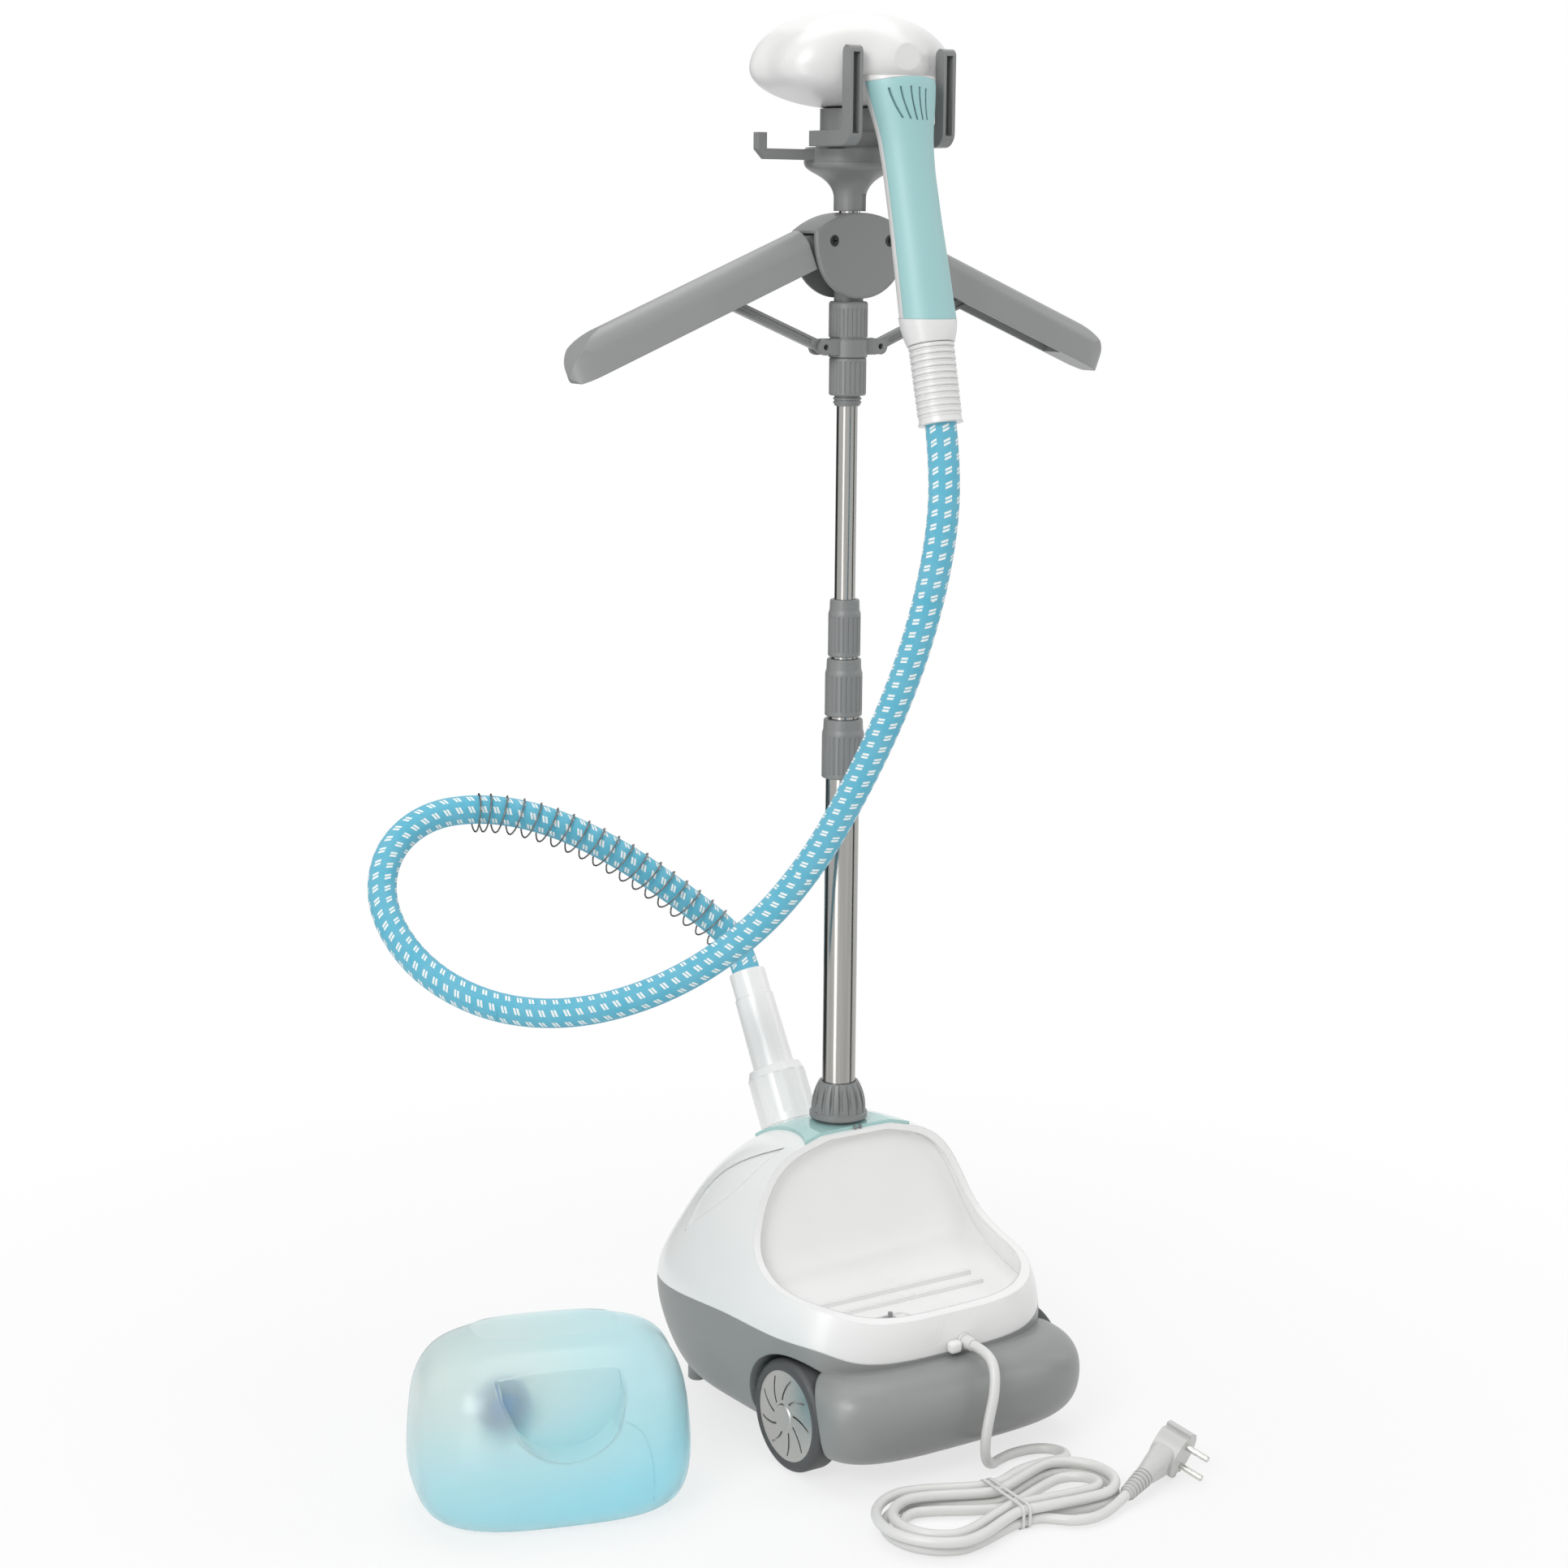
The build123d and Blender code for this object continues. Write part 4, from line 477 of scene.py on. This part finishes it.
def settle(
    name: str, bm: bmesh.types.BMesh, body: str, finish: Finish, smooth: bool = True,
) -> bpy.types.Object:
    """Turn a bmesh into a piece that rides on a body.

    Args:
        name: piece name.
        bm: shape, in the row frame; it is freed.
        body: body that carries the piece.
        finish: finish of the piece.
        smooth: whether its faces are shaded smooth.

    Returns:
        The piece.
    """
    piece = piece_of(name, bm, finish, smooth)
    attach(piece, body)
    log.info("made %s on %s", name, body)
    return piece


def nurbs(name: str, points: list[Vector]) -> bpy.types.Curve:
    """Smooth curve with the points as its controls.

    Args:
        name: curve name.
        points: controls in the row frame.

    Returns:
        Curve data with one open spline.
    """
    curve = bpy.data.curves.new(name, "CURVE")
    curve.dimensions = "3D"
    spline = curve.splines.new("NURBS")
    spline.points.add(len(points) - 1)
    for spot, point in zip(spline.points, points):
        spot.co = (*point, 1.0)
    spline.order_u = 3
    spline.use_endpoint_u = True
    spline.resolution_u = CURVE_STEPS
    return curve


def read_line(curve: bpy.types.Curve) -> list[Vector]:
    """Read the points along a curve that has no bevel.

    Args:
        curve: the curve, left as it is.

    Returns:
        Its points, from its start to its end.
    """
    bare = bpy.data.objects.new("reading", curve)
    mesh = bpy.data.meshes.new_from_object(bare)
    line = [v.co.copy() for v in mesh.vertices]
    bpy.data.objects.remove(bare)
    bpy.data.meshes.remove(mesh)
    return line


def lengths(line: list[Vector]) -> list[float]:
    """Measure how far along a line each of its points lies.

    Args:
        line: points of the line.

    Returns:
        The distance at each point, in metres.
    """
    run = [0.0]
    for first, second in zip(line, line[1:]):
        run.append(run[-1] + (second - first).length)
    return run


def place_at(line: list[Vector], run: list[float], distance: float) -> tuple[Vector, Vector]:
    """Point and direction at a distance along a line.

    Args:
        line: points of the line.
        run: distance at each point.
        distance: how far along.

    Returns:
        The point, and the unit direction there.
    """
    low, high = 0, len(run) - 1
    while high - low > 1:
        half = (low + high) // 2
        if run[half] <= distance:
            low = half
        else:
            high = half
    share = (distance - run[low]) / max(run[high] - run[low], 1e-9)
    spot = line[low].lerp(line[high], share)
    back, on = max(low - 1, 0), min(high + 1, len(line) - 1)
    return spot, (line[on] - line[back]).normalized()


def tube(line: list[Vector], radius: float, sides: int, start: float = 0.0) -> bmesh.types.BMesh:
    """Round tube along points, with a map of turn and length.

    Args:
        line: ring centres.
        radius: tube radius in metres.
        sides: facets round the tube.
        start: length, in metres, at the first ring.

    Returns:
        Open tube.
    """
    bm = bmesh.new()
    rings = []
    side = Vector((0, 0, 1)).cross(line[1] - line[0]).normalized()
    for i, spot in enumerate(line):
        way = (line[min(i + 1, len(line) - 1)] - line[max(i - 1, 0)]).normalized()
        side = (side - way * side.dot(way)).normalized()
        turn = Matrix((side, way.cross(side), way)).transposed().to_4x4()
        stand = Matrix.Translation(spot) @ turn
        made = bmesh.ops.create_circle(bm, segments=sides, radius=radius, matrix=stand)
        rings.append(made["verts"])
    for first, second in zip(rings, rings[1:]):
        edges = set()
        for ring in (first, second):
            members = set(ring)
            edges.update(e for v in ring for e in v.link_edges if e.other_vert(v) in members)
        bmesh.ops.bridge_loops(bm, edges=list(edges))
    run = lengths(line)
    spot_of = {v: (i, j) for i, ring in enumerate(rings) for j, v in enumerate(ring)}
    layer = bm.loops.layers.uv.new("wrap")
    for face in bm.faces:
        turns = [spot_of[loop.vert][1] for loop in face.loops]
        for loop, j in zip(face.loops, turns):
            if max(turns) - min(turns) > sides // 2 and j < sides // 2:
                j += sides
            loop[layer].uv = (j / sides, (start + run[spot_of[loop.vert][0]]) / DECIMETRE)
    return bm


@dataclass(frozen=True)
class Paper(Finish):
    """White floor: plain white to the eye far off, and paper that keeps the object's shadow close by."""

    name: str = "white studio paper"
    colour: str = "#EDEDED"
    near: float = 0.72
    fade_from: float = 0.25
    fade_to: float = 1.1

    def shade(self, tree: bpy.types.NodeTree) -> bpy.types.Node:
        """Add the finish's nodes to a material.

        Args:
            tree: node tree of the material.

        Returns:
            The shader's node.
        """
        path = node(tree, "ShaderNodeLightPath").outputs
        seen = node(tree, "ShaderNodeMath", {
            0: path["Is Camera Ray"], 1: path["Is Transmission Ray"],
        }, operation="MAXIMUM")
        seen = node(tree, "ShaderNodeMath", {0: seen, 1: path["Is Glossy Ray"]}, operation="MAXIMUM")
        place = node(tree, "ShaderNodeTexCoord").outputs["Object"]
        reach = node(tree, "ShaderNodeVectorMath", {0: place}, operation="LENGTH").outputs["Value"]
        fade = node(tree, "ShaderNodeMapRange", {
            "Value": reach, "From Min": self.fade_from, "From Max": self.fade_to,
            "To Min": self.near, "To Max": 1.0,
        }, interpolation_type="SMOOTHSTEP")
        share = node(tree, "ShaderNodeMath", {0: seen, 1: fade}, operation="MULTIPLY")
        paper = node(tree, "ShaderNodeBsdfDiffuse", {"Color": linear(self.colour)})
        white = node(tree, "ShaderNodeEmission", {"Color": (1, 1, 1, 1), "Strength": 1.0})
        return node(tree, "ShaderNodeMixShader", {0: share, 1: paper, 2: white})


@dataclass(frozen=True)
class Silk(Finish):
    """Lit white silk, brighter than the room, that draws the bright line down the pole."""

    name: str = "lit white silk"
    strength: float = 3.2

    def shade(self, tree: bpy.types.NodeTree) -> bpy.types.Node:
        """Add the nodes and give back the shader."""
        return node(tree, "ShaderNodeEmission", {"Color": (1, 1, 1, 1), "Strength": self.strength})


@dataclass(frozen=True)
class Card:
    """Upright card that bright metal mirrors: where it stands, its width in metres and its finish."""

    name: str
    degrees: float
    width: float
    finish: Finish


@dataclass(frozen=True)
class Lamp:
    """Soft square lamp: where it hangs and its side in metres, and its power in watts."""

    name: str
    place: Point
    side: float
    watts: float


@dataclass
class Studio:
    """White floor, soft lamps, cards that bright metal mirrors, and the picture's camera."""

    forward: tuple[float, float] = (0.5639, 0.8258)
    pitch: float = 10.6964
    roll: float = 0.5146
    lens: float = 68.455
    eye: Vector = field(default_factory=lambda: POLE + Vector((-1.3076, -1.8353, 0.9211)))
    floor_radius: float = 9.0
    floor_drop: float = 0.6 * MM
    sky: float = 0.55
    cards: tuple[Card, ...] = (
        Card("card_left", -127.0, 0.80, SHADOW), Card("card_right", 88.0, 0.22, SHADOW),
        Card("card_bright", -31.0, 0.24, Silk()),
    )
    card_reach: float = 0.8
    card_high: float = 2.2
    lamps: tuple[Lamp, ...] = (
        Lamp("key", (-2.8, -1.6, 2.6), 1.6, 58.0), Lamp("fill", (2.6, -1.4, 1.6), 1.8, 15.0),
        Lamp("top", (0.2, 0.6, 3.0), 2.2, 26.0),
    )
    lamp_aim: Point = (0.05, 0.0, 0.5)

    def camera(self) -> None:
        """Set the camera where the picture was taken from."""
        pitch, roll = math.radians(self.pitch), math.radians(self.roll)
        level = Vector((*self.forward, 0.0)).normalized()
        across = Vector((level.y, -level.x, 0.0))
        ahead = level * math.cos(pitch) - Vector((0, 0, math.sin(pitch)))
        up = across.cross(ahead)
        right = across * math.cos(roll) + up * math.sin(roll)
        top = up * math.cos(roll) - across * math.sin(roll)
        data = bpy.data.cameras.new("camera")
        data.sensor_width = 36.0
        data.lens = self.lens
        data.clip_end = 50.0
        eye = bpy.data.objects.new("camera", data)
        eye.matrix_world = Matrix.Translation(self.eye) @ Matrix((right, top, -ahead)).transposed().to_4x4()
        bpy.context.scene.collection.objects.link(eye)
        bpy.context.scene.camera = eye

    def round_from_eye(self, degrees: float, reach: float, height: float) -> Vector:
        """Place round the pole, counted from the camera's side to the right.

        Args:
            degrees: turn to the right, as the camera sees it.
            reach: distance from the pole in metres.
            height: height in metres.

        Returns:
            The place.
        """
        angle = math.radians(degrees)
        back = Vector((*self.forward, 0.0)).normalized() * -math.cos(angle)
        side = Vector((self.forward[1], -self.forward[0], 0.0)).normalized() * math.sin(angle)
        return POLE + (back + side) * reach + Vector((0, 0, height))

    def hang(self, lamp: Lamp) -> None:
        """Hang a soft lamp that points at the object's middle.

        Args:
            lamp: the lamp.
        """
        data = bpy.data.lights.new(lamp.name, "AREA")
        data.size = lamp.side
        data.energy = lamp.watts
        hung = bpy.data.objects.new(lamp.name, data)
        hung.location = lamp.place
        aim = Vector(self.lamp_aim) - Vector(lamp.place)
        hung.rotation_euler = aim.to_track_quat("-Z", "Y").to_euler()
        bpy.context.scene.collection.objects.link(hung)

    def stand(self, card: Card) -> None:
        """Stand a card that only reflections show.

        Args:
            card: the card.
        """
        bm = bmesh.new()
        bmesh.ops.create_grid(bm, x_segments=1, y_segments=1, size=0.5)
        bmesh.ops.scale(bm, vec=(card.width, self.card_high, 1.0), verts=bm.verts)
        mesh = bpy.data.meshes.new(card.name)
        bm.to_mesh(mesh)
        bm.free()
        mesh.materials.append(card.finish.material())
        upright = bpy.data.objects.new(card.name, mesh)
        upright.location = self.round_from_eye(card.degrees, self.card_reach, self.card_high / 2)
        level = POLE + Vector((0, 0, self.card_high / 2))
        upright.rotation_euler = (level - upright.location).to_track_quat("Z", "Y").to_euler()
        upright.visible_camera = upright.visible_diffuse = upright.visible_transmission = False
        upright.visible_shadow = upright.visible_volume_scatter = False
        bpy.context.scene.collection.objects.link(upright)

    def surroundings(self) -> None:
        """Light the scene softly from all round, white where it is seen."""
        world = bpy.data.worlds.new("studio")
        bpy.context.scene.world = world
        world.use_nodes = True
        tree = world.node_tree
        tree.nodes.clear()
        path = node(tree, "ShaderNodeLightPath").outputs
        seen = node(tree, "ShaderNodeMath", {
            0: path["Is Camera Ray"], 1: path["Is Transmission Ray"],
        }, operation="MAXIMUM")
        seen = node(tree, "ShaderNodeMath", {0: seen, 1: path["Is Glossy Ray"]}, operation="MAXIMUM")
        strength = node(tree, "ShaderNodeMapRange", {"Value": seen, "To Min": self.sky, "To Max": 1.0})
        back = node(tree, "ShaderNodeBackground", {"Color": (1, 1, 1, 1), "Strength": strength})
        node(tree, "ShaderNodeOutputWorld", {"Surface": back})

    def build(self) -> None:
        """Make the floor, the lamps, the cards, the surroundings and the camera."""
        bm = bmesh.new()
        bmesh.ops.create_circle(bm, cap_ends=True, segments=96, radius=self.floor_radius)
        mesh = bpy.data.meshes.new("floor")
        bm.to_mesh(mesh)
        bm.free()
        mesh.materials.append(Paper().material())
        floor = bpy.data.objects.new("floor", mesh)
        floor.location.z = -self.floor_drop
        bpy.context.scene.collection.objects.link(floor)
        for card in self.cards:
            self.stand(card)
        for lamp in self.lamps:
            self.hang(lamp)
        self.surroundings()
        bpy.context.scene.view_settings.view_transform = "Standard"
        self.camera()


@dataclass
class SteamHose:
    """Braided hose from the base fitting, round its loop and up to the handset, with its guard spring."""

    radius: float = 11.4 * MM
    sides: int = 36
    ring: float = 4.0 * MM
    cuts: tuple[float, ...] = (0.550, 0.688, 0.826, 1.063)
    turns: int = 19
    turn_steps: int = 20
    coil: float = 15.2 * MM
    wire: float = 0.7 * MM
    wire_sides: int = 8
    coil_sag: float = 2.6 * MM
    coil_from: float = 52.0 * MM
    coil_pitch: float = 13.2 * MM
    closing_turns: float = 2.5
    closing: float = 1.78 * MM
    route: tuple[Point, ...] = (
        (0, 122, 303.4), (0, 141, 336.3), (-9, 151, 352), (-40, 167, 380), (-86, 187, 417),
        (-137, 209, 446), (-187, 228, 459), (-234, 242, 455), (-271, 241, 428), (-285, 221, 386),
        (-270, 181, 344), (-234, 132, 320),
        (-186, 83, 320), (-132, 36, 345), (-85, -4, 389), (-54, -38, 445), (-34, -68, 510), (-20, -96, 575),
        (-10, -116, 640), (-3, -126, 706), (0, -121.46, 756.7), (0, -113.6, 789.76),
    )
    steps: tuple[tuple[str, str], ...] = (
        ("base", "second"), ("second", "third"), ("third", "mast_top"), ("mast_top", "handset"),
    )

    def build(self) -> None:
        """Make the stretches of hose and the spring."""
        fine = read_line(nurbs("hose_route", [at(*p) for p in self.route]))
        run = lengths(fine)
        ends = [0.0, *self.cuts, run[-1]]
        for i, (low, high) in enumerate(zip(ends, ends[1:])):
            count = max(2, round((high - low) / self.ring))
            line = [place_at(fine, run, low + (high - low) * k / count)[0] for k in range(count + 1)]
            name = "hose_loop" if i == 0 else f"hose_rise_{i}"
            piece = piece_of(name, tube(line, self.radius, self.sides, low), BRAID)
            if i == 0:
                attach(piece, "base")
            else:
                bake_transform(piece)
            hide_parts("hose")
            log.info("made %s, %.0f mm long", name, (high - low) / MM)
        self.spring(fine, run)

    def spring(self, line: list[Vector], run: list[float]) -> None:
        """Hang the guard spring on the hose.

        Args:
            line: middle of the hose.
            run: distance at each of its points.
        """
        wire = []
        for step in range(self.turns * self.turn_steps + 1):
            turn = step / self.turn_steps
            over = max(0.0, turn - (self.turns - self.closing_turns))
            # The last turns close up on each other.
            distance = self.coil_from + self.coil_pitch * turn - self.closing * over * over
            spot, way = place_at(line, run, distance)
            side = way.cross(Vector((0, 0, 1))).normalized()
            angle = 2 * math.pi * turn
            lean = side * math.cos(angle) + side.cross(way) * math.sin(angle)
            wire.append(spot - Vector((0, 0, self.coil_sag)) + lean * self.coil)
        piece = settle("guard_spring", tube(wire, self.wire, self.wire_sides), "base", SPRING)
        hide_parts("hose_spring")


@dataclass
class MainsCord:
    """White mains lead: down from the base, wound in a tied hank and on to its plug."""

    radius: float = 3.9 * MM
    tie: tuple[float, float] = (-30.0, -258.0)
    turn: float = math.radians(-5.73)
    low: float = 5.2
    high: float = 13.8
    strands: tuple[float, ...] = (21.0, 15.6, 10.2, 4.8, 10.2, 15.6, 21.0, 27.4)
    lobes: tuple[float, ...] = (40.0, 32.6, 27.8, 20.6, 33.9, 32.6, 46.0)
    left_middle: float = -56.0
    right_middle: float = 61.0
    right_lift: float = math.radians(7.0)
    lobe_points: int = 7
    hank_end: tuple[float, float] = (15.0, 4.0)
    crossing: float = 6.0
    facets: int = 5
    lead: tuple[Point, ...] = (
        (9, -166, 93), (9, -181, 93), (6, -196, 87), (1, -203, 70), (-5, -204, 50), (-8, -204.5, 36),
        (-6, -202, 22), (1, -196.5, 12), (11, -190, 6.8),
    )
    bow: tuple[Point, ...] = (
        (43, 79, 5.2), (58, 84.3, 5.2), (72, 84.7, 5.4), (81.8, 82.1, 5.8),
        (89, 74.8, 6.6), (91.7, 65, 7.8), (89, 55.2, 9.2), (81.8, 47.9, 10.6), (72, 45.3, 11.8),
        (55, 43.6, 13), (36, 39, 13.8), (23, 32.8, 13.8), (12, 27.4, 13.8),
    )
    tail: tuple[Point, ...] = ((23, -27, 5.2), (34, -37, 5.2), (50, -42, 6.2))
    plug_root: Point = (122, -278, 18.4)
    plug_out: Point = (0.380, -0.863, -0.330)
    plug_way: Point = (-0.924, -0.335, -0.185)
    plug_inset: float = 11 * MM
    plug_runs: tuple[float, ...] = (86 * MM, 68 * MM)
    riders: tuple[str, ...] = ("plug", "strain_relief", "plug_pin_a", "plug_pin_b", "cord_tie")

    def spot(self, p: float, q: float, z: float) -> Vector:
        """Place a point of the hank.

        Args:
            p: millimetres along the hank from its tie.
            q: millimetres across it, towards the base.
            z: height in millimetres.

        Returns:
            The point, in metres.
        """
        c, s = math.cos(self.turn), math.sin(self.turn)
        return at(self.tie[0] + p * c - q * s, self.tie[1] + p * s + q * c, z)

    def hank(self) -> list[Vector]:
        """Lay out the wound loops.

        Returns:
            Their controls, from the plug's side to the base's.
        """
        points = [self.spot(p, -self.strands[0], self.low) for p in self.hank_end]
        last = self.lobe_points - 1
        half = len(self.lobes) // 2
        for j, lobe in enumerate(self.lobes):
            sign, middle, lift = -1, self.left_middle, 0.0
            if j % 2:
                sign, middle, lift = 1, self.right_middle, self.right_lift
            enter = self.low if j <= half else self.high
            leave = self.low if j < half else self.high
            points.append(self.spot(sign * self.crossing, sign * self.strands[j], enter))
            # Controls stand outside the lobe by the amount that the curve cuts in.
            reach = lobe / math.cos(math.pi / last / 2)
            for k in range(self.lobe_points):
                angle = math.pi / 2 - math.pi * k / last
                p = middle + sign * reach * math.cos(angle)
                q = sign * reach * math.sin(angle)
                along = p * math.cos(lift) - q * math.sin(lift)
                aside = p * math.sin(lift) + q * math.cos(lift)
                points.append(self.spot(along, aside, enter + (leave - enter) * k / last))
            points.append(self.spot(sign * self.crossing, -sign * self.strands[j + 1], leave))
        return points

    def build(self) -> None:
        """Make the cord and say what it is."""
        points = [at(*p) for p in self.lead] + [self.spot(*p) for p in self.bow]
        points += list(reversed(self.hank())) + [self.spot(*p) for p in self.tail]
        out = Vector(self.plug_out).normalized()
        way = Vector(self.plug_way)
        way = (way - out * way.dot(out)).normalized()
        root = at(*self.plug_root) - out * self.plug_inset
        points += [root + way * run for run in self.plug_runs]
        curve = nurbs("mains_cord", points)
        line = read_line(curve)
        curve.bevel_depth = self.radius
        curve.bevel_resolution = self.facets
        curve.use_fill_caps = True
        cord = bpy.data.objects.new("mains_cord", curve)
        bpy.context.scene.collection.objects.link(cord)
        curve.materials.append(CORD_WHITE.material())
        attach(cord, "base")
        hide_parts("cord_lead", "cord_hank", "cord_tail")
        log.info("made mains_cord, %.0f mm long", lengths(line)[-1] / MM)
        dress(PLUG_WHITE, "plug", "strain_relief")
        dress(CORD_WHITE, "cord_tie", "cord_gland")
        dress(PLATED, "plug_pin_a", "plug_pin_b")


@dataclass
class Base:
    """Wheeled base with its housing, fittings, wheels and small moulded marks."""

    lug: Point = (-3.0, -158.5, 92.0)
    lug_size: Point = (11.0, 8.0, 9.5)
    latch: Point = (1.0, -25.0, 226.0)
    latch_size: Point = (1.6, 2.4, 8.0)
    latch_gap: float = 5.0
    lug_radius: float = 3.2
    latch_radius: float = 0.6

    def rounded(self, bm: bmesh.types.BMesh, centre: Point, size: Point, radius: float) -> None:
        """Add a block with round edges.

        Args:
            bm: mesh that takes it.
            centre: its middle, in millimetres from the pole's foot.
            size: its sides in millimetres.
            radius: its edges' radius in millimetres.
        """
        made = bmesh.ops.create_cube(bm, size=1.0)["verts"]
        bmesh.ops.scale(bm, vec=Vector(size) * MM, verts=made)
        bmesh.ops.translate(bm, vec=at(*centre), verts=made)
        edges = list({edge for vert in made for edge in vert.link_edges})
        bmesh.ops.bevel(bm, geom=edges, offset=radius * MM, offset_type="OFFSET", segments=4, profile=0.5,
                        affect="EDGES", material=-1)

    def marks(self) -> None:
        """Make the hook lug beside the cord and the latch's two ribs at the top of the seat."""
        bm = bmesh.new()
        self.rounded(bm, self.lug, self.lug_size, self.lug_radius)
        settle("cord_lug", bm, "base", WHITE)
        bm = bmesh.new()
        for side in (-0.5, 0.5):
            x, y, z = self.latch
            self.rounded(bm, (x + side * self.latch_gap, y, z), self.latch_size, self.latch_radius)
        settle("seat_latch", bm, "base", GREY)

    def build(self) -> None:
        """Dress the base's nodes and add its marks."""
        dress(WHITE, "upper_housing", "hose_nut", "hose_fitting")
        dress(BASE_GREY, "lower_housing", "front_foot_left", "front_foot_right", "valve_seat")
        dress(PLATE_TEAL, "top_plate", "power_button")
        dress(TYRE, "wheel_left", "wheel_right")
        dress(CHROME, "hubcap_left", "hubcap_right")
        dress(GREY, "pole_nut", "steam_outlet", "pole_socket")
        dress(CAST, "boiler", "boiler_lid")
        dress(TUBE, "steam_pipe", "wheel_axle")
        self.marks()


@dataclass
class Mast:
    """Telescopic pole, its collars, the folding hanger and the handset's holder."""

    tubes: tuple[str, ...] = ("lower_tube", "second_tube", "third_tube", "upper_tube")
    mouldings: tuple[str, ...] = (
        "lower_collar", "second_collar", "third_collar", "hub_front", "hub_rear", "holder_cup",
        "holder_disc", "holder_yoke", "strut_left", "strut_right", "slider_sleeve", "slider_nut",
    )

    def build(self) -> None:
        """Dress the nodes."""
        dress(TUBE, *self.tubes)
        dress(BLACKED, "hub_screw_left", "hub_screw_right")
        dress(GREY, *self.mouldings)
        dress(ARM_GREY, "arm_left", "arm_right")


@dataclass
class Handset:
    """Steam head, slit grip, collar and boot."""

    head: float = 1037.4
    slits: tuple[tuple[float, float, float, float], ...] = (
        (-20.5, 22.4, -12.5, 43.4), (-13.5, 21.4, -7, 43.9), (-6, 20.9, -2, 44.4), (1, 21.4, 2.8, 44.4),
        (7, 22.4, 7, 44.4),
    )
    slit_floor: float = -66.0
    half_width: float = 0.6
    bow: float = -1.0
    stations: int = 8
    sunk: float = 0.9
    clear: float = 2.6
    ray_from: float = -200.0
    least_depth: float = 4.0

    def surface(self, x: float, z: float) -> float:
        """Depth of the grip's outer face, in millimetres from the pole.

        Args:
            x: across, in millimetres from the pole.
            z: height in millimetres.

        Returns:
            The face's place along y.
        """
        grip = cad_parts["grip_panel"]
        depths = []
        for side in (-self.clear, self.clear):
            hit, spot, _, _ = grip.ray_cast(at(x + side, self.ray_from, z), Vector((0, 1, 0)))
            if hit:
                depths.append((spot.y - POLE.y) / MM)
        return max(depths) if depths else self.slit_floor - self.least_depth

    def shade_strip(self, bm: bmesh.types.BMesh, slit: tuple[float, float, float, float]) -> None:
        """Add a dark strip at the bottom of one slit, painted shadow for the slit's unlit depth.

        Args:
            bm: mesh that takes it.
            slit: x and drop at the slit's top, then x and drop at its foot.
        """
        x_top, drop_top, x_low, drop_low = slit
        grid = bmesh.ops.create_grid(bm, x_segments=1, y_segments=self.stations, size=0.5)["verts"]
        for vert in grid:
            share = vert.co.y + 0.5
            # The slit bows to one side half way down.
            bend = 4 * share * (1 - share) * self.bow
            x = x_low + (x_top - x_low) * share + bend + 2 * self.half_width * vert.co.x
            z = self.head - (drop_low + (drop_top - drop_low) * share)
            vert.co = at(x, self.slit_floor, z)
        faces = list({face for vert in grid for face in vert.link_faces})
        front = bmesh.ops.extrude_face_region(bm, geom=faces)["geom"]
        for vert in (item for item in front if isinstance(item, bmesh.types.BMVert)):
            x, z = (vert.co.x - POLE.x) / MM, vert.co.z / MM
            vert.co = at(x, min(self.surface(x, z) + self.sunk, self.slit_floor - 1.0), z)

    def build(self) -> None:
        """Dress the nodes and set a dark strip of painted shadow in each slit."""
        # The head, collar and boot take the white darkened a shade: painted shade.
        dress(SHADED_HEAD_WHITE, "handset_shell", "handset_collar", "hose_boot")
        dress(GRIP_TEAL, "grip_panel")
        dress(TUBE, "steam_plate")
        bm = bmesh.new()
        for slit in self.slits:
            self.shade_strip(bm, slit)
        # Painted shadow: dark strips where the slits' depth is only in shade.
        settle("slit_shadow_strips", bm, "handset", SHADOW, smooth=False)


@dataclass
class Tank:
    """Lift-off water tank, its cap and the moulding seam beside its finger recess."""

    place: tuple[float, float] = (-277.0, -10.5)
    turn: float = math.radians(-18.0)
    seam: tuple[tuple[float, float], ...] = (
        (41, 82), (48, 78), (54, 72), (58, 63), (60.5, 52), (62, 40), (62.5, 28), (62.5, 18),
    )
    seam_radius: float = 0.55 * MM
    seam_sides: int = 8
    reach: float = 200.0

    def front(self, across: float, height: float) -> Vector:
        """Point on the tank's bulging face.

        Args:
            across: millimetres from the tank's middle, along its flat back.
            height: millimetres above the floor.

        Returns:
            The point, in metres.
        """
        c, s = math.cos(self.turn), math.sin(self.turn)
        out = Vector((s, -c, 0.0))
        start = at(self.place[0] + across * c, self.place[1] + across * s, height) + out * self.reach * MM
        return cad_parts["tank_body"].ray_cast(start, -out)[1]

    def build(self) -> None:
        """Dress the nodes and lay the seam."""
        dress(FROSTED, "tank_body")
        dress(CAP_BLUE, "tank_cap")
        line = read_line(nurbs("seam_route", [self.front(*p) for p in self.seam]))
        seam = settle("tank_seam", tube(line, self.seam_radius, self.seam_sides), "tank", FROSTED)


def main() -> None:
    """Build every sub-assembly in order."""
    logging.basicConfig(level=logging.INFO)
    for group in (Studio(), SteamHose(), MainsCord(), Base(), Mast(), Handset(), Tank()):
        group.build()
        log.info("finished %s", type(group).__name__)


if __name__ == "__main__":
    main()
